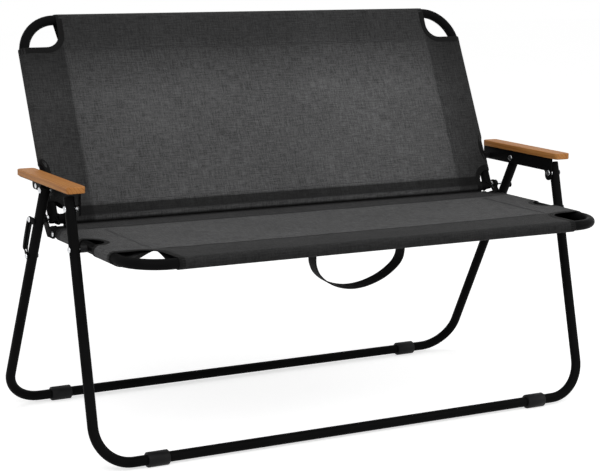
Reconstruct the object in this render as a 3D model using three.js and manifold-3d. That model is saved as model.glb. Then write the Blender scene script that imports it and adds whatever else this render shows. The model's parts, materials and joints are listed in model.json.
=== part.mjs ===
// Folding camping loveseat: a steel tube bench with a fabric sling seat and back, which folds flat.
// Millimetres, +Z up, the bench faces -Y. Origin: on the floor under the middle of the bench.
import * as THREE from 'three';
import { mergeVertices } from 'three/addons/utils/BufferGeometryUtils.js';
import Module from 'manifold-3d';

const wasm = await Module();
wasm.setup();

// Tubes and fits
const TUBE_R = 10;
const TUBE_WALL = 1.2;
const GAP = 0.3;
const BEND_R = 73;
const OVERRUN = 5;
const TUBE_SIDES = 12;
const LOOP_STEPS = 8;
const BEND_STEPS = 5;
const PIN_SIDES = 10;

// Side view: leans from upright in degrees, distances back from the front foot, and heights
const FOOT_Z = 14;
const FOOT_SPREAD = 501.7;
const FRONT_LEAN = 14.04;
const REAR_LEAN = 27.74;
const BACK_LEAN = 25.33;
const BACK_FOOT_Y = 304.5;
const BACK_FOOT_Z = 421;
const BACK_LENGTH = 412;
const SEAT_Z = 400;
const SEAT_REAR_Y = 287;
const SEAT_DEPTH = 387;
const ARM_PIVOT_Z = 484.1;
const REAR_PIVOT_Z = 488.5;
const FRONT_PIVOT_Z = 472.66;
const CORNER_PIN_AFT = 2.5;
const CORNER_PIN_RISE = 3.04;

// Turns from open to folded, in degrees, as the back sees them
const ARM_FOLD = 111.01;
const REAR_LEG_FOLD = 57.5;

// Across the bench: the back frame's half width, and the layers outboard of it
const BACK_HALF = 511;
const SEAT_STEP = 5;
const PLATE = 3;
const ARM_RUN = 3.7;
const ARM_SHEET = 2;
const REAR_SHOULDER = 1.4;
const FRONT_SHOULDER = 4.4;

// Pins, rivets and bushes
const PIN_R = 3;
const PIN_HEAD_R = 6;
const PIN_HEAD = 3.2;
const LOW_HEAD = 1.6;
const CORNER_HEAD_R = 4.4;
const SHOULDER_R = 6;
const BUSH_R = 8.5;
const SMALL_BUSH_R = 6.5;
const RIVET_R = 2.5;
const RIVET_HEAD_R = 5;
const DOME_SHARE = 0.45;

// Tube ends, caps and feet
const FRONT_REACH = 21.5;
const REAR_REACH = 7;
const CAP_BRIM = 1.8;
const FRONT_PLUG = 12;
const REAR_PLUG = 3;
const SWING_CLEARANCE = 0.8;
const BACK_TAIL = 6;
const SEAT_TAIL = 10;
const LEG_JOINT_INSET = 120;
const FRAME_JOINT_X = 395;
const FOOT_LENGTH = 43;
const FOOT_WALL = 4.2;

// Armrest board, its steel angle and its screws
const BOARD_LENGTH = 271;
const BOARD_FRONT_Y = 84;
const BOARD_WIDTH = 36.4;
const BOARD_THICK = 12.5;
const BOARD_LIP = 3;
const BOARD_BEVEL = 1.5;
const BOARD_CORNER_R = 8;
const ARM_TOP_WIDTH = 29;
const ARM_TOP_SETBACK = 8;
const ARM_WEB_BELOW = 7.1;
const ARM_REAR_INSET = 2;
const ARM_CORNER_R = 9;
const EAR_R = 11;
const EAR_DROP = 4.5;
const EAR_FILLET = 5;
const SCREW_R = 1.8;
const SCREW_HEAD_R = 3.6;
const SCREW_HEAD = 1.5;
const SCREW_BITE = 8;
const FRONT_SCREW_SET = 52;
const REAR_SCREW_SET = 26;

// Seat brackets and leg guides
const BRACKET_HALF = 9;
const BRACKET_EYE_R = 9.5;
const BRACKET_RIVET_SET = 25;
const CORNER_PLAY = 1.5;
const CORNER_DROP = 3.8;
const GUIDE_SHEET = 2.5;
const GUIDE_RIM = 2.5;
const GUIDE_SHIFT = 6;
const GUIDE_TAB_HALF = 6.5;
const GUIDE_TAB_RISE = 9;
const GUIDE_TAB_DROP = 10;
const GUIDE_STEPS = 6;
const SLOT_PLAY = 0.5;

// Fabric slings: hem widths from the tube axis to the seam, corner cut-outs and side notches
const FABRIC_WALL = 1.5;
const SEAM = 8;
const SIDE_HEM = 80;
const HEM_END_SET = 16;
const CORNER_HOLE_R = 24;
const CORNER_HOLE_SET = 10;
const BACK_TOP_HEM = 71;
const BACK_BOTTOM_HEM = 21;
const BACK_CUT_WIDE = 75;
const BACK_CUT_DEEP = 62;
const BACK_CUT_R = 30;
const BACK_NOTCH_BELOW = 10;
const BACK_NOTCH_ABOVE = 43;
const BACK_NOTCH_DEPTH = -2;
const SEAT_FRONT_HEM = 97;
const SEAT_REAR_HEM = 59;
const SEAT_CUT_WIDE = 82;
const SEAT_CUT_DEEP = 88;
const SEAT_CUT_R = 40;
const SEAT_NOTCH_AFT = 35;
const SEAT_NOTCH_FORE = 29;
const SEAT_NOTCH_DEPTH = 25;
const ARC_STEPS = 4;
const CUT_STEPS = 6;

// Carry strap, with its route in shares of its half span and of its drop
const STRAP_HALF_SPAN = 108;
const STRAP_DROP = 104;
const STRAP_WIDTH = 30;
const STRAP_THICK = 2.4;
const STRAP_STEPS = 16;
const STRAP_ROUTE_SHARES = [
  [-0.98, 0], [-1, 0.36], [-0.89, 0.58], [-0.67, 0.82], [-0.27, 1],
  [0.28, 0.88], [0.61, 0.72], [0.82, 0.55], [0.95, 0.36], [0.98, 0],
];

const rad = THREE.MathUtils.degToRad;
const at = (y, z) => new THREE.Vector2(y, z);

// Side-view lines: the direction of each tube, its foot, and its place at a height
const frontDir = at(Math.sin(rad(FRONT_LEAN)), Math.cos(rad(FRONT_LEAN)));
const rearDir = at(-Math.sin(rad(REAR_LEAN)), Math.cos(rad(REAR_LEAN)));
const backDir = at(Math.sin(rad(BACK_LEAN)), Math.cos(rad(BACK_LEAN)));
const seatDir = at(-1, 0);
const frontFoot = at(0, FOOT_Z);
const rearFoot = at(FOOT_SPREAD, FOOT_Z);
const backFoot = at(BACK_FOOT_Y, BACK_FOOT_Z);
const seatRear = at(SEAT_REAR_Y, SEAT_Z);
const onLine = (foot, dir, z) => foot.clone().addScaledVector(dir, (z - foot.y) / dir.y);

const armPivot = onLine(backFoot, backDir, ARM_PIVOT_Z);
const rearPivot = onLine(rearFoot, rearDir, REAR_PIVOT_Z);
const frontPivot = onLine(frontFoot, frontDir, FRONT_PIVOT_Z);
const seatPivot = onLine(frontFoot, frontDir, SEAT_Z);
const cornerPin = at(BACK_FOOT_Y + CORNER_PIN_AFT, BACK_FOOT_Z + CORNER_PIN_RISE);

// Outward stack, from the back frame to the legs
const seatHalf = BACK_HALF + SEAT_STEP;
const seatPlateX = seatHalf + TUBE_R + GAP;
const seatPlateOut = seatPlateX + PLATE;
const armWebX = seatPlateOut + ARM_RUN;
const armWebOut = armWebX + ARM_SHEET;
const rearHalf = armWebOut + REAR_SHOULDER + 2 * GAP + TUBE_R;
const frontHalf = armWebOut + FRONT_SHOULDER + 2 * GAP + TUBE_R;
const guideX = rearHalf + TUBE_R + GAP;
const guideOut = guideX + GUIDE_SHEET;

// Heights of the armrest's layers, over the swing of the rear leg's end
const armUnder = REAR_PIVOT_Z + Math.hypot(REAR_REACH + GAP + CAP_BRIM / 2, TUBE_R) + SWING_CLEARANCE;
const armTop = armUnder + ARM_SHEET;
const boardUnder = armTop + GAP;

const holeR = PIN_R + GAP;
const rivetHoleR = RIVET_R + GAP;
const sleeveR = TUBE_R + GAP;
const hemR = sleeveR + FABRIC_WALL;
const footR = sleeveR + FOOT_WALL;

const steel = { color: 0x17181a, roughness: 0.42, metalness: 0.35 };
const zinc = { color: 0xb8bcc0, roughness: 0.3, metalness: 0.9 };
const plastic = { color: 0x101012, roughness: 0.55, metalness: 0 };
const wood = { color: 0xb87333, roughness: 0.5, metalness: 0 };
const fabric = { color: 0x3a3b3d, roughness: 0.9, metalness: 0 };
const webbing = { color: 0x151517, roughness: 0.85, metalness: 0 };

const bench = new THREE.Group();
const seatFrontY = SEAT_REAR_Y - SEAT_DEPTH;
bench.position.y = -(seatFrontY - hemR + FOOT_SPREAD + footR) / 2;

function add(name, geometry, finish) {
  const mesh = new THREE.Mesh(geometry, new THREE.MeshStandardMaterial(finish));
  mesh.name = name;
  bench.add(mesh);
}

// The same piece on the other side of the bench, with its faces still pointing out
function mirrored(geometry) {
  const copy = geometry.index ? geometry.toNonIndexed() : geometry.clone();
  const p = copy.attributes.position;
  for (let i = 0; i < p.count; i += 3) {
    const [a, b, c] = [i, i + 1, i + 2].map((k) => new THREE.Vector3().fromBufferAttribute(p, k));
    p.setXYZ(i, -a.x, a.y, a.z);
    p.setXYZ(i + 1, -c.x, c.y, c.z);
    p.setXYZ(i + 2, -b.x, b.y, b.z);
  }
  copy.computeVertexNormals();
  return copy;
}

function addPair(name, geometry, finish) {
  add(`${name}_right`, geometry, finish);
  add(`${name}_left`, mirrored(geometry), finish);
}

// Solids for cutting and joining
function solid(geometry) {
  const bare = geometry.clone();
  bare.deleteAttribute('normal');
  bare.deleteAttribute('uv');
  const merged = mergeVertices(bare);
  return new wasm.Manifold(new wasm.Mesh({
    numProp: 3,
    vertProperties: new Float32Array(merged.attributes.position.array),
    triVerts: new Uint32Array(merged.index.array),
  }));
}

function shown(manifold) {
  const mesh = manifold.getMesh();
  const geometry = new THREE.BufferGeometry();
  geometry.setAttribute('position', new THREE.BufferAttribute(new Float32Array(mesh.vertProperties), 3));
  geometry.setIndex(new THREE.BufferAttribute(new Uint32Array(mesh.triVerts), 1));
  geometry.computeVertexNormals();
  return geometry;
}

const cut = (body, tools) => tools.reduce((rest, tool) => rest.subtract(solid(tool)), body);
const join = (parts) => parts.slice(1).reduce((sum, part) => sum.add(solid(part)), solid(parts[0]));

function circle(radius, sides) {
  const points = [];
  for (let i = 0; i < sides; i += 1) {
    const a = (2 * Math.PI * i) / sides;
    points.push(new THREE.Vector2(radius * Math.cos(a), radius * Math.sin(a)));
  }
  return points;
}

// A path of straight runs and round bends in one plane, with a station only where it needs one
class BentPath extends THREE.Curve {
  constructor(stations, planeNormal) {
    super();
    this.stations = stations;
    this.planeNormal = planeNormal;
  }

  getSpacedPoints() {
    return this.stations.map((station) => station.point);
  }

  computeFrenetFrames() {
    const tangents = this.stations.map((station) => station.tangent);
    const binormals = tangents.map(() => this.planeNormal.clone());
    const normals = tangents.map((tangent) => this.planeNormal.clone().cross(tangent));
    return { tangents, normals, binormals };
  }
}

function bentStations(corners, radius) {
  const heading = (i) => corners[i + 1].clone().sub(corners[i]).normalize();
  const stations = [{ point: corners[0], tangent: heading(0) }];
  for (let i = 1; i < corners.length - 1; i += 1) {
    const into = heading(i - 1);
    const out = heading(i);
    const turn = into.angleTo(out);
    const start = corners[i].clone().addScaledVector(into, -radius * Math.tan(turn / 2));
    const inward = out.clone().addScaledVector(into, -into.dot(out)).normalize();
    for (let k = 0; k <= BEND_STEPS; k += 1) {
      const a = (turn * k) / BEND_STEPS;
      const point = start.clone().addScaledVector(into, radius * Math.sin(a));
      point.addScaledVector(inward, radius * (1 - Math.cos(a)));
      const tangent = into.clone().multiplyScalar(Math.cos(a)).addScaledVector(inward, Math.sin(a));
      stations.push({ point, tangent });
    }
  }
  const last = corners.length - 1;
  stations.push({ point: corners[last], tangent: heading(last - 1) });
  return stations;
}

// A steel tube along a bent centre line
function tube(corners, planeNormal) {
  const stations = bentStations(corners, BEND_R);
  const ring = new THREE.Shape(circle(TUBE_R, TUBE_SIDES));
  ring.holes.push(new THREE.Path(circle(TUBE_R - TUBE_WALL, TUBE_SIDES)));
  return new THREE.ExtrudeGeometry(ring, {
    steps: stations.length - 1,
    bevelEnabled: false,
    extrudePath: new BentPath(stations, planeNormal),
  });
}

const place3 = (x, place) => new THREE.Vector3(x, place.x, place.y);

// A straight tube between two ends of the same side-view place
function crossTube(x0, x1, place) {
  return tube([place3(x0, place), place3(x1, place)], new THREE.Vector3(0, 0, 1));
}

// A round bar across the bench, at a place of the side view
function bar(radius, x0, x1, place, sides = PIN_SIDES) {
  const geometry = new THREE.CylinderGeometry(radius, radius, x1 - x0, sides);
  geometry.rotateZ(-Math.PI / 2);
  geometry.translate((x0 + x1) / 2, place.x, place.y);
  return geometry;
}

// A turned pin across the bench, from its [x, radius] profile
function turned(profile, place) {
  const points = profile.map(([x, r]) => new THREE.Vector2(r, x));
  points.unshift(new THREE.Vector2(0, profile[0][0]));
  points.push(new THREE.Vector2(0, profile[profile.length - 1][0]));
  const geometry = new THREE.LatheGeometry(points, PIN_SIDES);
  geometry.rotateZ(-Math.PI / 2);
  geometry.translate(0, place.x, place.y);
  return geometry;
}

// Profile pieces of a turned pin: a plain length, and round heads at its outer and inner ends
const shank = (x0, x1, r) => [[x0, r], [x1, r]];
const outerHead = (x, depth, r) => [[x, r], [x + depth * DOME_SHARE, r], [x + depth, r * DOME_SHARE]];
const innerHead = (x, depth, r) => [[x - depth, r * DOME_SHARE], [x - depth * DOME_SHARE, r], [x, r]];

// A plastic ring that turns on a pin
function bush(radius, x0, x1, place) {
  return shown(cut(solid(bar(radius, x0, x1, place, TUBE_SIDES)), [
    bar(holeR, x0 - OVERRUN, x1 + OVERRUN, place),
  ]));
}

// A flat plate across X, from its shape in the side view
const sideToBench = (x0) => new THREE.Matrix4().set(
  0, 0, 1, x0,
  1, 0, 0, 0,
  0, 1, 0, 0,
  0, 0, 0, 1,
);

function plate(shape, x0, x1) {
  const depth = x1 - x0;
  const geometry = new THREE.ExtrudeGeometry(shape, { depth, bevelEnabled: false, curveSegments: ARC_STEPS });
  geometry.applyMatrix4(sideToBench(x0));
  return geometry;
}

// Shape of a strap with round ends between two points
function capsule(a, b, half) {
  const turn = Math.atan2(b.y - a.y, b.x - a.x);
  const shape = new THREE.Shape();
  shape.absarc(a.x, a.y, half, turn + Math.PI / 2, turn + 1.5 * Math.PI, false);
  shape.absarc(b.x, b.y, half, turn - Math.PI / 2, turn + Math.PI / 2, false);
  return shape;
}

// A capsule-shaped cutter through a plate
const slotCutter = (a, b, half, x0, x1) => plate(capsule(a, b, half), x0 - OVERRUN, x1 + OVERRUN);

// Legs: a tube down from the armrest, bent inwards to the rail near the floor
function addLegs(name, half, foot, dir, top, plug, holes) {
  const jointX = half - LEG_JOINT_INSET;
  const corners = [place3(half, top), place3(half, foot), place3(jointX + GAP / 2, foot)];
  const planeNormal = new THREE.Vector3(0, dir.y, -dir.x);
  const drills = holes.map(([place, r]) => bar(r, half - TUBE_R - OVERRUN, half + TUBE_R + OVERRUN, place));
  addPair(`${name}_leg`, shown(cut(solid(tube(corners, planeNormal)), drills)), steel);
  add(`${name}_rail`, crossTube(-jointX + GAP / 2, jointX - GAP / 2, foot), steel);

  // The foot is a sleeve over the joint, cut flat where it stands on the floor
  const tread = Math.acos(FOOT_Z / footR);
  const sleeve = new THREE.Shape();
  sleeve.absarc(foot.x, foot.y, footR, tread - Math.PI / 2, 1.5 * Math.PI - tread, false);
  sleeve.holes.push(new THREE.Path().absarc(foot.x, foot.y, sleeveR, 0, 2 * Math.PI, false));
  const footPiece = new THREE.ExtrudeGeometry(sleeve, {
    depth: FOOT_LENGTH,
    bevelEnabled: false,
    curveSegments: LOOP_STEPS,
  });
  footPiece.applyMatrix4(sideToBench(jointX - FOOT_LENGTH / 2));
  addPair(`${name}_foot`, footPiece, plastic);

  const plugR = TUBE_R - TUBE_WALL - GAP;
  const brim = GAP + CAP_BRIM;
  const capProfile = [
    [0, -plug], [plugR, -plug], [plugR, GAP], [TUBE_R, GAP],
    [TUBE_R, GAP + CAP_BRIM / 2], [TUBE_R - CAP_BRIM, brim], [0, brim],
  ].map(([r, h]) => new THREE.Vector2(r, h));
  const cap = new THREE.LatheGeometry(capProfile, TUBE_SIDES);
  cap.rotateX(Math.atan2(dir.y, dir.x));
  cap.translate(half, top.x, top.y);
  addPair(`${name}_leg_cap`, cap, plastic);
}

const spin = (p, centre, degrees) => p.clone().rotateAround(centre, rad(degrees));

// The corner pin's route over the rear leg, from open to folded
function guideRoute() {
  const route = [];
  for (let k = 0; k <= GUIDE_STEPS; k += 1) {
    const share = k / GUIDE_STEPS;
    const pivotNow = spin(rearPivot, armPivot, -ARM_FOLD * share);
    const pinThere = cornerPin.clone().sub(pivotNow).add(rearPivot);
    route.push(spin(pinThere, rearPivot, REAR_LEG_FOLD * share));
  }
  return route;
}

// Shape of a band along a route, with round ends
function band(route, half) {
  const last = route.length - 1;
  const headings = route.map((p, i) => {
    const step = route[Math.min(i + 1, last)].clone().sub(route[Math.max(i - 1, 0)]);
    return Math.atan2(step.y, step.x);
  });
  const aside = (i, turn) => at(
    route[i].x + half * Math.cos(headings[i] + turn),
    route[i].y + half * Math.sin(headings[i] + turn),
  );
  const shape = new THREE.Shape();
  const [from, to] = [headings[0], headings[last]];
  shape.absarc(route[0].x, route[0].y, half, from + Math.PI / 2, from + 1.5 * Math.PI, false);
  for (let i = 1; i < last; i += 1) {
    const p = aside(i, -Math.PI / 2);
    shape.lineTo(p.x, p.y);
  }
  shape.absarc(route[last].x, route[last].y, half, to - Math.PI / 2, to + Math.PI / 2, false);
  for (let i = last - 1; i > 0; i -= 1) {
    const p = aside(i, Math.PI / 2);
    shape.lineTo(p.x, p.y);
  }
  return shape;
}

const guidePath = guideRoute();
const legDown = rearDir.clone().negate();
const alongLeg = (p) => p.clone().sub(rearPivot).dot(legDown);
const onRearLeg = (along) => rearPivot.clone().addScaledVector(legDown, along);
const guideTop = onRearLeg(alongLeg(guidePath[0]) - GUIDE_TAB_RISE);
const guideRivet = onRearLeg(alongLeg(guidePath[GUIDE_STEPS]) + GUIDE_TAB_DROP);

const frontTop = frontPivot.clone().addScaledVector(frontDir, FRONT_REACH);
const rearTop = rearPivot.clone().addScaledVector(rearDir, REAR_REACH);
addLegs('front', frontHalf, frontFoot, frontDir, frontTop, FRONT_PLUG, [
  [frontPivot, holeR],
  [seatPivot, holeR],
]);
addLegs('rear', rearHalf, rearFoot, rearDir, rearTop, REAR_PLUG, [
  [rearPivot, holeR],
  [guideRivet, rivetHoleR],
]);

// Leg guides: a slotted strip outside each rear leg, welded at its top tab and riveted at its foot
function addGuides() {
  const slotHalf = PIN_R + SLOT_PLAY;
  const rimHalf = slotHalf + GUIDE_RIM;
  const legSide = at(-rearDir.y, rearDir.x).multiplyScalar(GUIDE_SHIFT);
  const inner = guidePath.map((p) => p.clone().add(legSide));
  const strip = join([
    plate(band(guidePath, rimHalf), guideX, guideOut),
    plate(band(inner, rimHalf), guideX, guideOut),
    plate(capsule(guideTop, guidePath[0], GUIDE_TAB_HALF), guideX, guideOut),
    plate(capsule(guideRivet, guidePath[GUIDE_STEPS], GUIDE_TAB_HALF), guideX, guideOut),
  ]);
  addPair('leg_guide', shown(cut(strip, [
    plate(band(guidePath, slotHalf), guideX - OVERRUN, guideOut + OVERRUN),
    bar(rivetHoleR, guideX - OVERRUN, guideOut + OVERRUN, guideRivet),
  ])), steel);
  const legIn = rearHalf - TUBE_R - GAP;
  addPair('guide_rivet', turned([
    ...innerHead(legIn, LOW_HEAD, RIVET_HEAD_R),
    ...shank(legIn, guideOut + GAP, RIVET_R),
    ...outerHead(guideOut + GAP, PIN_HEAD, RIVET_HEAD_R),
  ], guideRivet), zinc);
}
addGuides();

// A frame in the plane that runs from foot along dir: side tubes bent at the far end, where they
// meet a rail inside the hem, and a rail coped to their straight ends at the foot
function addFrame(name, half, foot, dir, length, tail, railNames, holes) {
  const far = foot.clone().addScaledVector(dir, length);
  const end = foot.clone().addScaledVector(dir, -tail);
  const corners = [place3(half, end), place3(half, far), place3(FRAME_JOINT_X + GAP / 2, far)];
  const planeNormal = new THREE.Vector3(0, -dir.y, dir.x);
  const drills = holes.map(([place, r]) => bar(r, half - TUBE_R - OVERRUN, half + TUBE_R + OVERRUN, place));
  addPair(`${name}_side`, shown(cut(solid(tube(corners, planeNormal)), drills)), steel);
  const railHalf = FRAME_JOINT_X - GAP / 2;
  add(`${name}_${railNames[1]}_rail`, crossTube(-railHalf, railHalf, far), steel);

  const coping = [-half, half].map((x) => {
    const sideRun = 2 * (tail + hemR + OVERRUN);
    const geometry = new THREE.CylinderGeometry(sleeveR, sleeveR, sideRun, TUBE_SIDES);
    geometry.rotateX(Math.atan2(dir.y, dir.x));
    geometry.translate(x, foot.x, foot.y);
    return geometry;
  });
  add(`${name}_${railNames[0]}_rail`, shown(cut(solid(crossTube(-half, half, foot)), coping)), steel);
}

const bracketRivet = seatRear.clone().addScaledVector(seatDir, BRACKET_RIVET_SET);
addFrame('seat', seatHalf, seatRear, seatDir, SEAT_DEPTH, SEAT_TAIL, ['rear', 'front'], [
  [seatPivot, holeR],
  [bracketRivet, rivetHoleR],
]);
addFrame('back', BACK_HALF, backFoot, backDir, BACK_LENGTH, BACK_TAIL, ['bottom', 'top'], [
  [armPivot, holeR],
  [cornerPin, holeR],
]);

// Brackets that hang the seat on the corner pins. Their slots let the pin drop while the bench folds
function addBrackets() {
  const strap = plate(capsule(bracketRivet, seatRear, BRACKET_HALF), seatPlateX, seatPlateOut);
  const eye = plate(capsule(seatRear, cornerPin, BRACKET_EYE_R), seatPlateX, seatPlateOut);
  const slotEnd = at(cornerPin.x, cornerPin.y - CORNER_DROP);
  addPair('seat_bracket', shown(cut(join([strap, eye]), [
    slotCutter(cornerPin, slotEnd, PIN_R + CORNER_PLAY, seatPlateX, seatPlateOut),
    bar(rivetHoleR, seatPlateX - OVERRUN, seatPlateOut + OVERRUN, bracketRivet),
  ])), steel);
  const seatIn = seatHalf - TUBE_R - GAP;
  addPair('seat_bracket_rivet', turned([
    ...innerHead(seatIn, LOW_HEAD, RIVET_HEAD_R),
    ...shank(seatIn, seatPlateOut + GAP, RIVET_R),
    ...outerHead(seatPlateOut + GAP, LOW_HEAD, RIVET_HEAD_R),
  ], bracketRivet), zinc);

  // The corner pin goes out through back tube, bracket, bush and guide
  const backIn = BACK_HALF - TUBE_R - GAP;
  const backOut = BACK_HALF + TUBE_R + GAP;
  const bushIn = seatPlateOut + GAP;
  const bushOut = rearHalf - TUBE_R - 2 * GAP;
  addPair('corner_pin', turned([
    ...innerHead(backIn, LOW_HEAD, CORNER_HEAD_R),
    ...shank(backIn, backOut, PIN_R),
    ...shank(backOut, seatPlateX - GAP, SHOULDER_R),
    ...shank(seatPlateX - GAP, guideOut + GAP, PIN_R),
    ...outerHead(guideOut + GAP, PIN_HEAD, PIN_HEAD_R),
  ], cornerPin), zinc);
  addPair('corner_bush', bush(BUSH_R, bushIn, bushOut, cornerPin), plastic);
}
addBrackets();

// Pivots of the armrests and the seat
function addPivots() {
  const backIn = BACK_HALF - TUBE_R - GAP;
  const backOut = BACK_HALF + TUBE_R + GAP;
  addPair('arm_back_pivot', turned([
    ...innerHead(backIn, LOW_HEAD, PIN_HEAD_R),
    ...shank(backIn, armWebOut + GAP, PIN_R),
    ...outerHead(armWebOut + GAP, REAR_SHOULDER, RIVET_HEAD_R),
  ], armPivot), zinc);
  addPair('back_pivot_bush', bush(SMALL_BUSH_R, backOut, armWebX - GAP, armPivot), plastic);

  [['rear_leg_pivot', rearHalf, rearPivot], ['front_leg_pivot', frontHalf, frontPivot]]
    .forEach(([name, half, place]) => {
      addPair(name, turned([
        ...innerHead(armWebX - GAP, LOW_HEAD, PIN_HEAD_R),
        ...shank(armWebX - GAP, armWebOut + GAP, PIN_R),
        ...shank(armWebOut + GAP, half - TUBE_R - GAP, SHOULDER_R),
        ...shank(half - TUBE_R - GAP, half + TUBE_R + GAP, PIN_R),
        ...outerHead(half + TUBE_R + GAP, PIN_HEAD, PIN_HEAD_R),
      ], place), zinc);
    });

  const seatIn = seatHalf - TUBE_R - GAP;
  const seatOut = seatHalf + TUBE_R + GAP;
  addPair('seat_pivot', turned([
    ...innerHead(seatIn, PIN_HEAD, PIN_HEAD_R),
    ...shank(seatIn, frontHalf + TUBE_R + GAP, PIN_R),
    ...outerHead(frontHalf + TUBE_R + GAP, PIN_HEAD, PIN_HEAD_R),
  ], seatPivot), zinc);
  addPair('seat_pivot_bush', bush(SMALL_BUSH_R, seatOut, frontHalf - TUBE_R - GAP, seatPivot), plastic);
}
addPivots();

// Armrests: a wooden board screwed onto a steel angle, whose web has an ear for the front leg
function addArmrests() {
  const boardRear = BOARD_FRONT_Y + BOARD_LENGTH;
  const railFront = frontPivot.x - EAR_R;
  const railRear = boardRear - ARM_REAR_INSET;
  const webLow = armPivot.y - ARM_WEB_BELOW;
  const earZ = frontPivot.y - EAR_DROP;
  const web = new THREE.Shape();
  web.absarc(frontPivot.x, earZ, EAR_R, Math.PI, 2 * Math.PI, false);
  web.absarc(frontPivot.x + EAR_R + EAR_FILLET, webLow - EAR_FILLET, EAR_FILLET, Math.PI, Math.PI / 2, true);
  web.absarc(railRear - ARM_CORNER_R, webLow + ARM_CORNER_R, ARM_CORNER_R, -Math.PI / 2, 0, false);
  web.lineTo(railRear, armTop);
  web.lineTo(railFront, armTop);
  const flangeFront = railFront + ARM_TOP_SETBACK;
  const flange = new THREE.BoxGeometry(ARM_TOP_WIDTH, railRear - flangeFront, ARM_SHEET);
  flange.translate(armWebX + ARM_TOP_WIDTH / 2, (railRear + flangeFront) / 2, armUnder + ARM_SHEET / 2);

  const screwX = armWebX + ARM_TOP_WIDTH / 2;
  const screwYs = [railFront + FRONT_SCREW_SET, railRear - REAR_SCREW_SET];
  const upright = (r, z0, z1, y) => {
    const geometry = new THREE.CylinderGeometry(r, r, z1 - z0, PIN_SIDES);
    geometry.rotateX(Math.PI / 2);
    geometry.translate(screwX, y, (z0 + z1) / 2);
    return geometry;
  };
  addPair('arm_rail', shown(cut(join([plate(web, armWebX, armWebOut), flange]), [
    ...[armPivot, rearPivot, frontPivot].map((p) => bar(holeR, armWebX - OVERRUN, armWebOut + OVERRUN, p)),
    ...screwYs.map((y) => upright(SCREW_R + GAP, armUnder - OVERRUN, armTop + OVERRUN, y)),
  ])), steel);

  // The board's plan is drawn inside its bevel
  const x0 = armWebX - BOARD_LIP + BOARD_BEVEL;
  const x1 = armWebX - BOARD_LIP + BOARD_WIDTH - BOARD_BEVEL;
  const y0 = BOARD_FRONT_Y + BOARD_BEVEL;
  const y1 = boardRear - BOARD_BEVEL;
  const r = BOARD_CORNER_R - BOARD_BEVEL;
  const plan = new THREE.Shape();
  plan.absarc(x1 - r, y0 + r, r, -Math.PI / 2, 0, false);
  plan.absarc(x1 - r, y1 - r, r, 0, Math.PI / 2, false);
  plan.absarc(x0 + r, y1 - r, r, Math.PI / 2, Math.PI, false);
  plan.absarc(x0 + r, y0 + r, r, Math.PI, 1.5 * Math.PI, false);
  const board = new THREE.ExtrudeGeometry(plan, {
    depth: BOARD_THICK - 2 * BOARD_BEVEL,
    bevelThickness: BOARD_BEVEL,
    bevelSize: BOARD_BEVEL,
    bevelSegments: 1,
    curveSegments: ARC_STEPS,
  });
  board.translate(0, 0, boardUnder + BOARD_BEVEL);
  const bite = boardUnder + SCREW_BITE;
  const pilots = screwYs.map((y) => upright(SCREW_R + GAP, boardUnder - OVERRUN, bite + GAP, y));
  addPair('armrest', shown(cut(solid(board), pilots)), wood);

  const headTop = armUnder - GAP;
  ['front', 'rear'].forEach((end, i) => {
    addPair(`arm_screw_${end}`, shown(join([
      upright(SCREW_HEAD_R, headTop - SCREW_HEAD, headTop, screwYs[i]),
      upright(SCREW_R, headTop - SCREW_HEAD / 2, bite, screwYs[i]),
    ])), zinc);
  });
}
addArmrests();

// Where a hem's lower layer leaves the loop round the tube, as an angle in the hem's section
const loopEnd = (r, width) => Math.atan2(sleeveR, width) - Math.acos(r / Math.hypot(width, sleeveR));

// A hem's section: x inwards from the tube axis, y towards the panel. The outer one is its skin,
// the inner one its hollow
function hemSection(r, width, top) {
  const shape = new THREE.Shape();
  shape.absarc(0, 0, r, Math.PI / 2, 2 * Math.PI + loopEnd(r, width), false);
  shape.lineTo(width, sleeveR);
  if (top > sleeveR) {
    shape.lineTo(width, top);
  }
  return shape;
}

function hemRun(section, inward, centre, run) {
  const curveSegments = LOOP_STEPS;
  const geometry = new THREE.ExtrudeGeometry(section, { depth: run, bevelEnabled: false, curveSegments });
  geometry.translate(0, 0, -run / 2);
  const through = new THREE.Vector3(0, 0, 1);
  const along = inward.clone().cross(through);
  geometry.applyMatrix4(new THREE.Matrix4().makeBasis(inward, through, along).setPosition(centre));
  return geometry;
}

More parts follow.
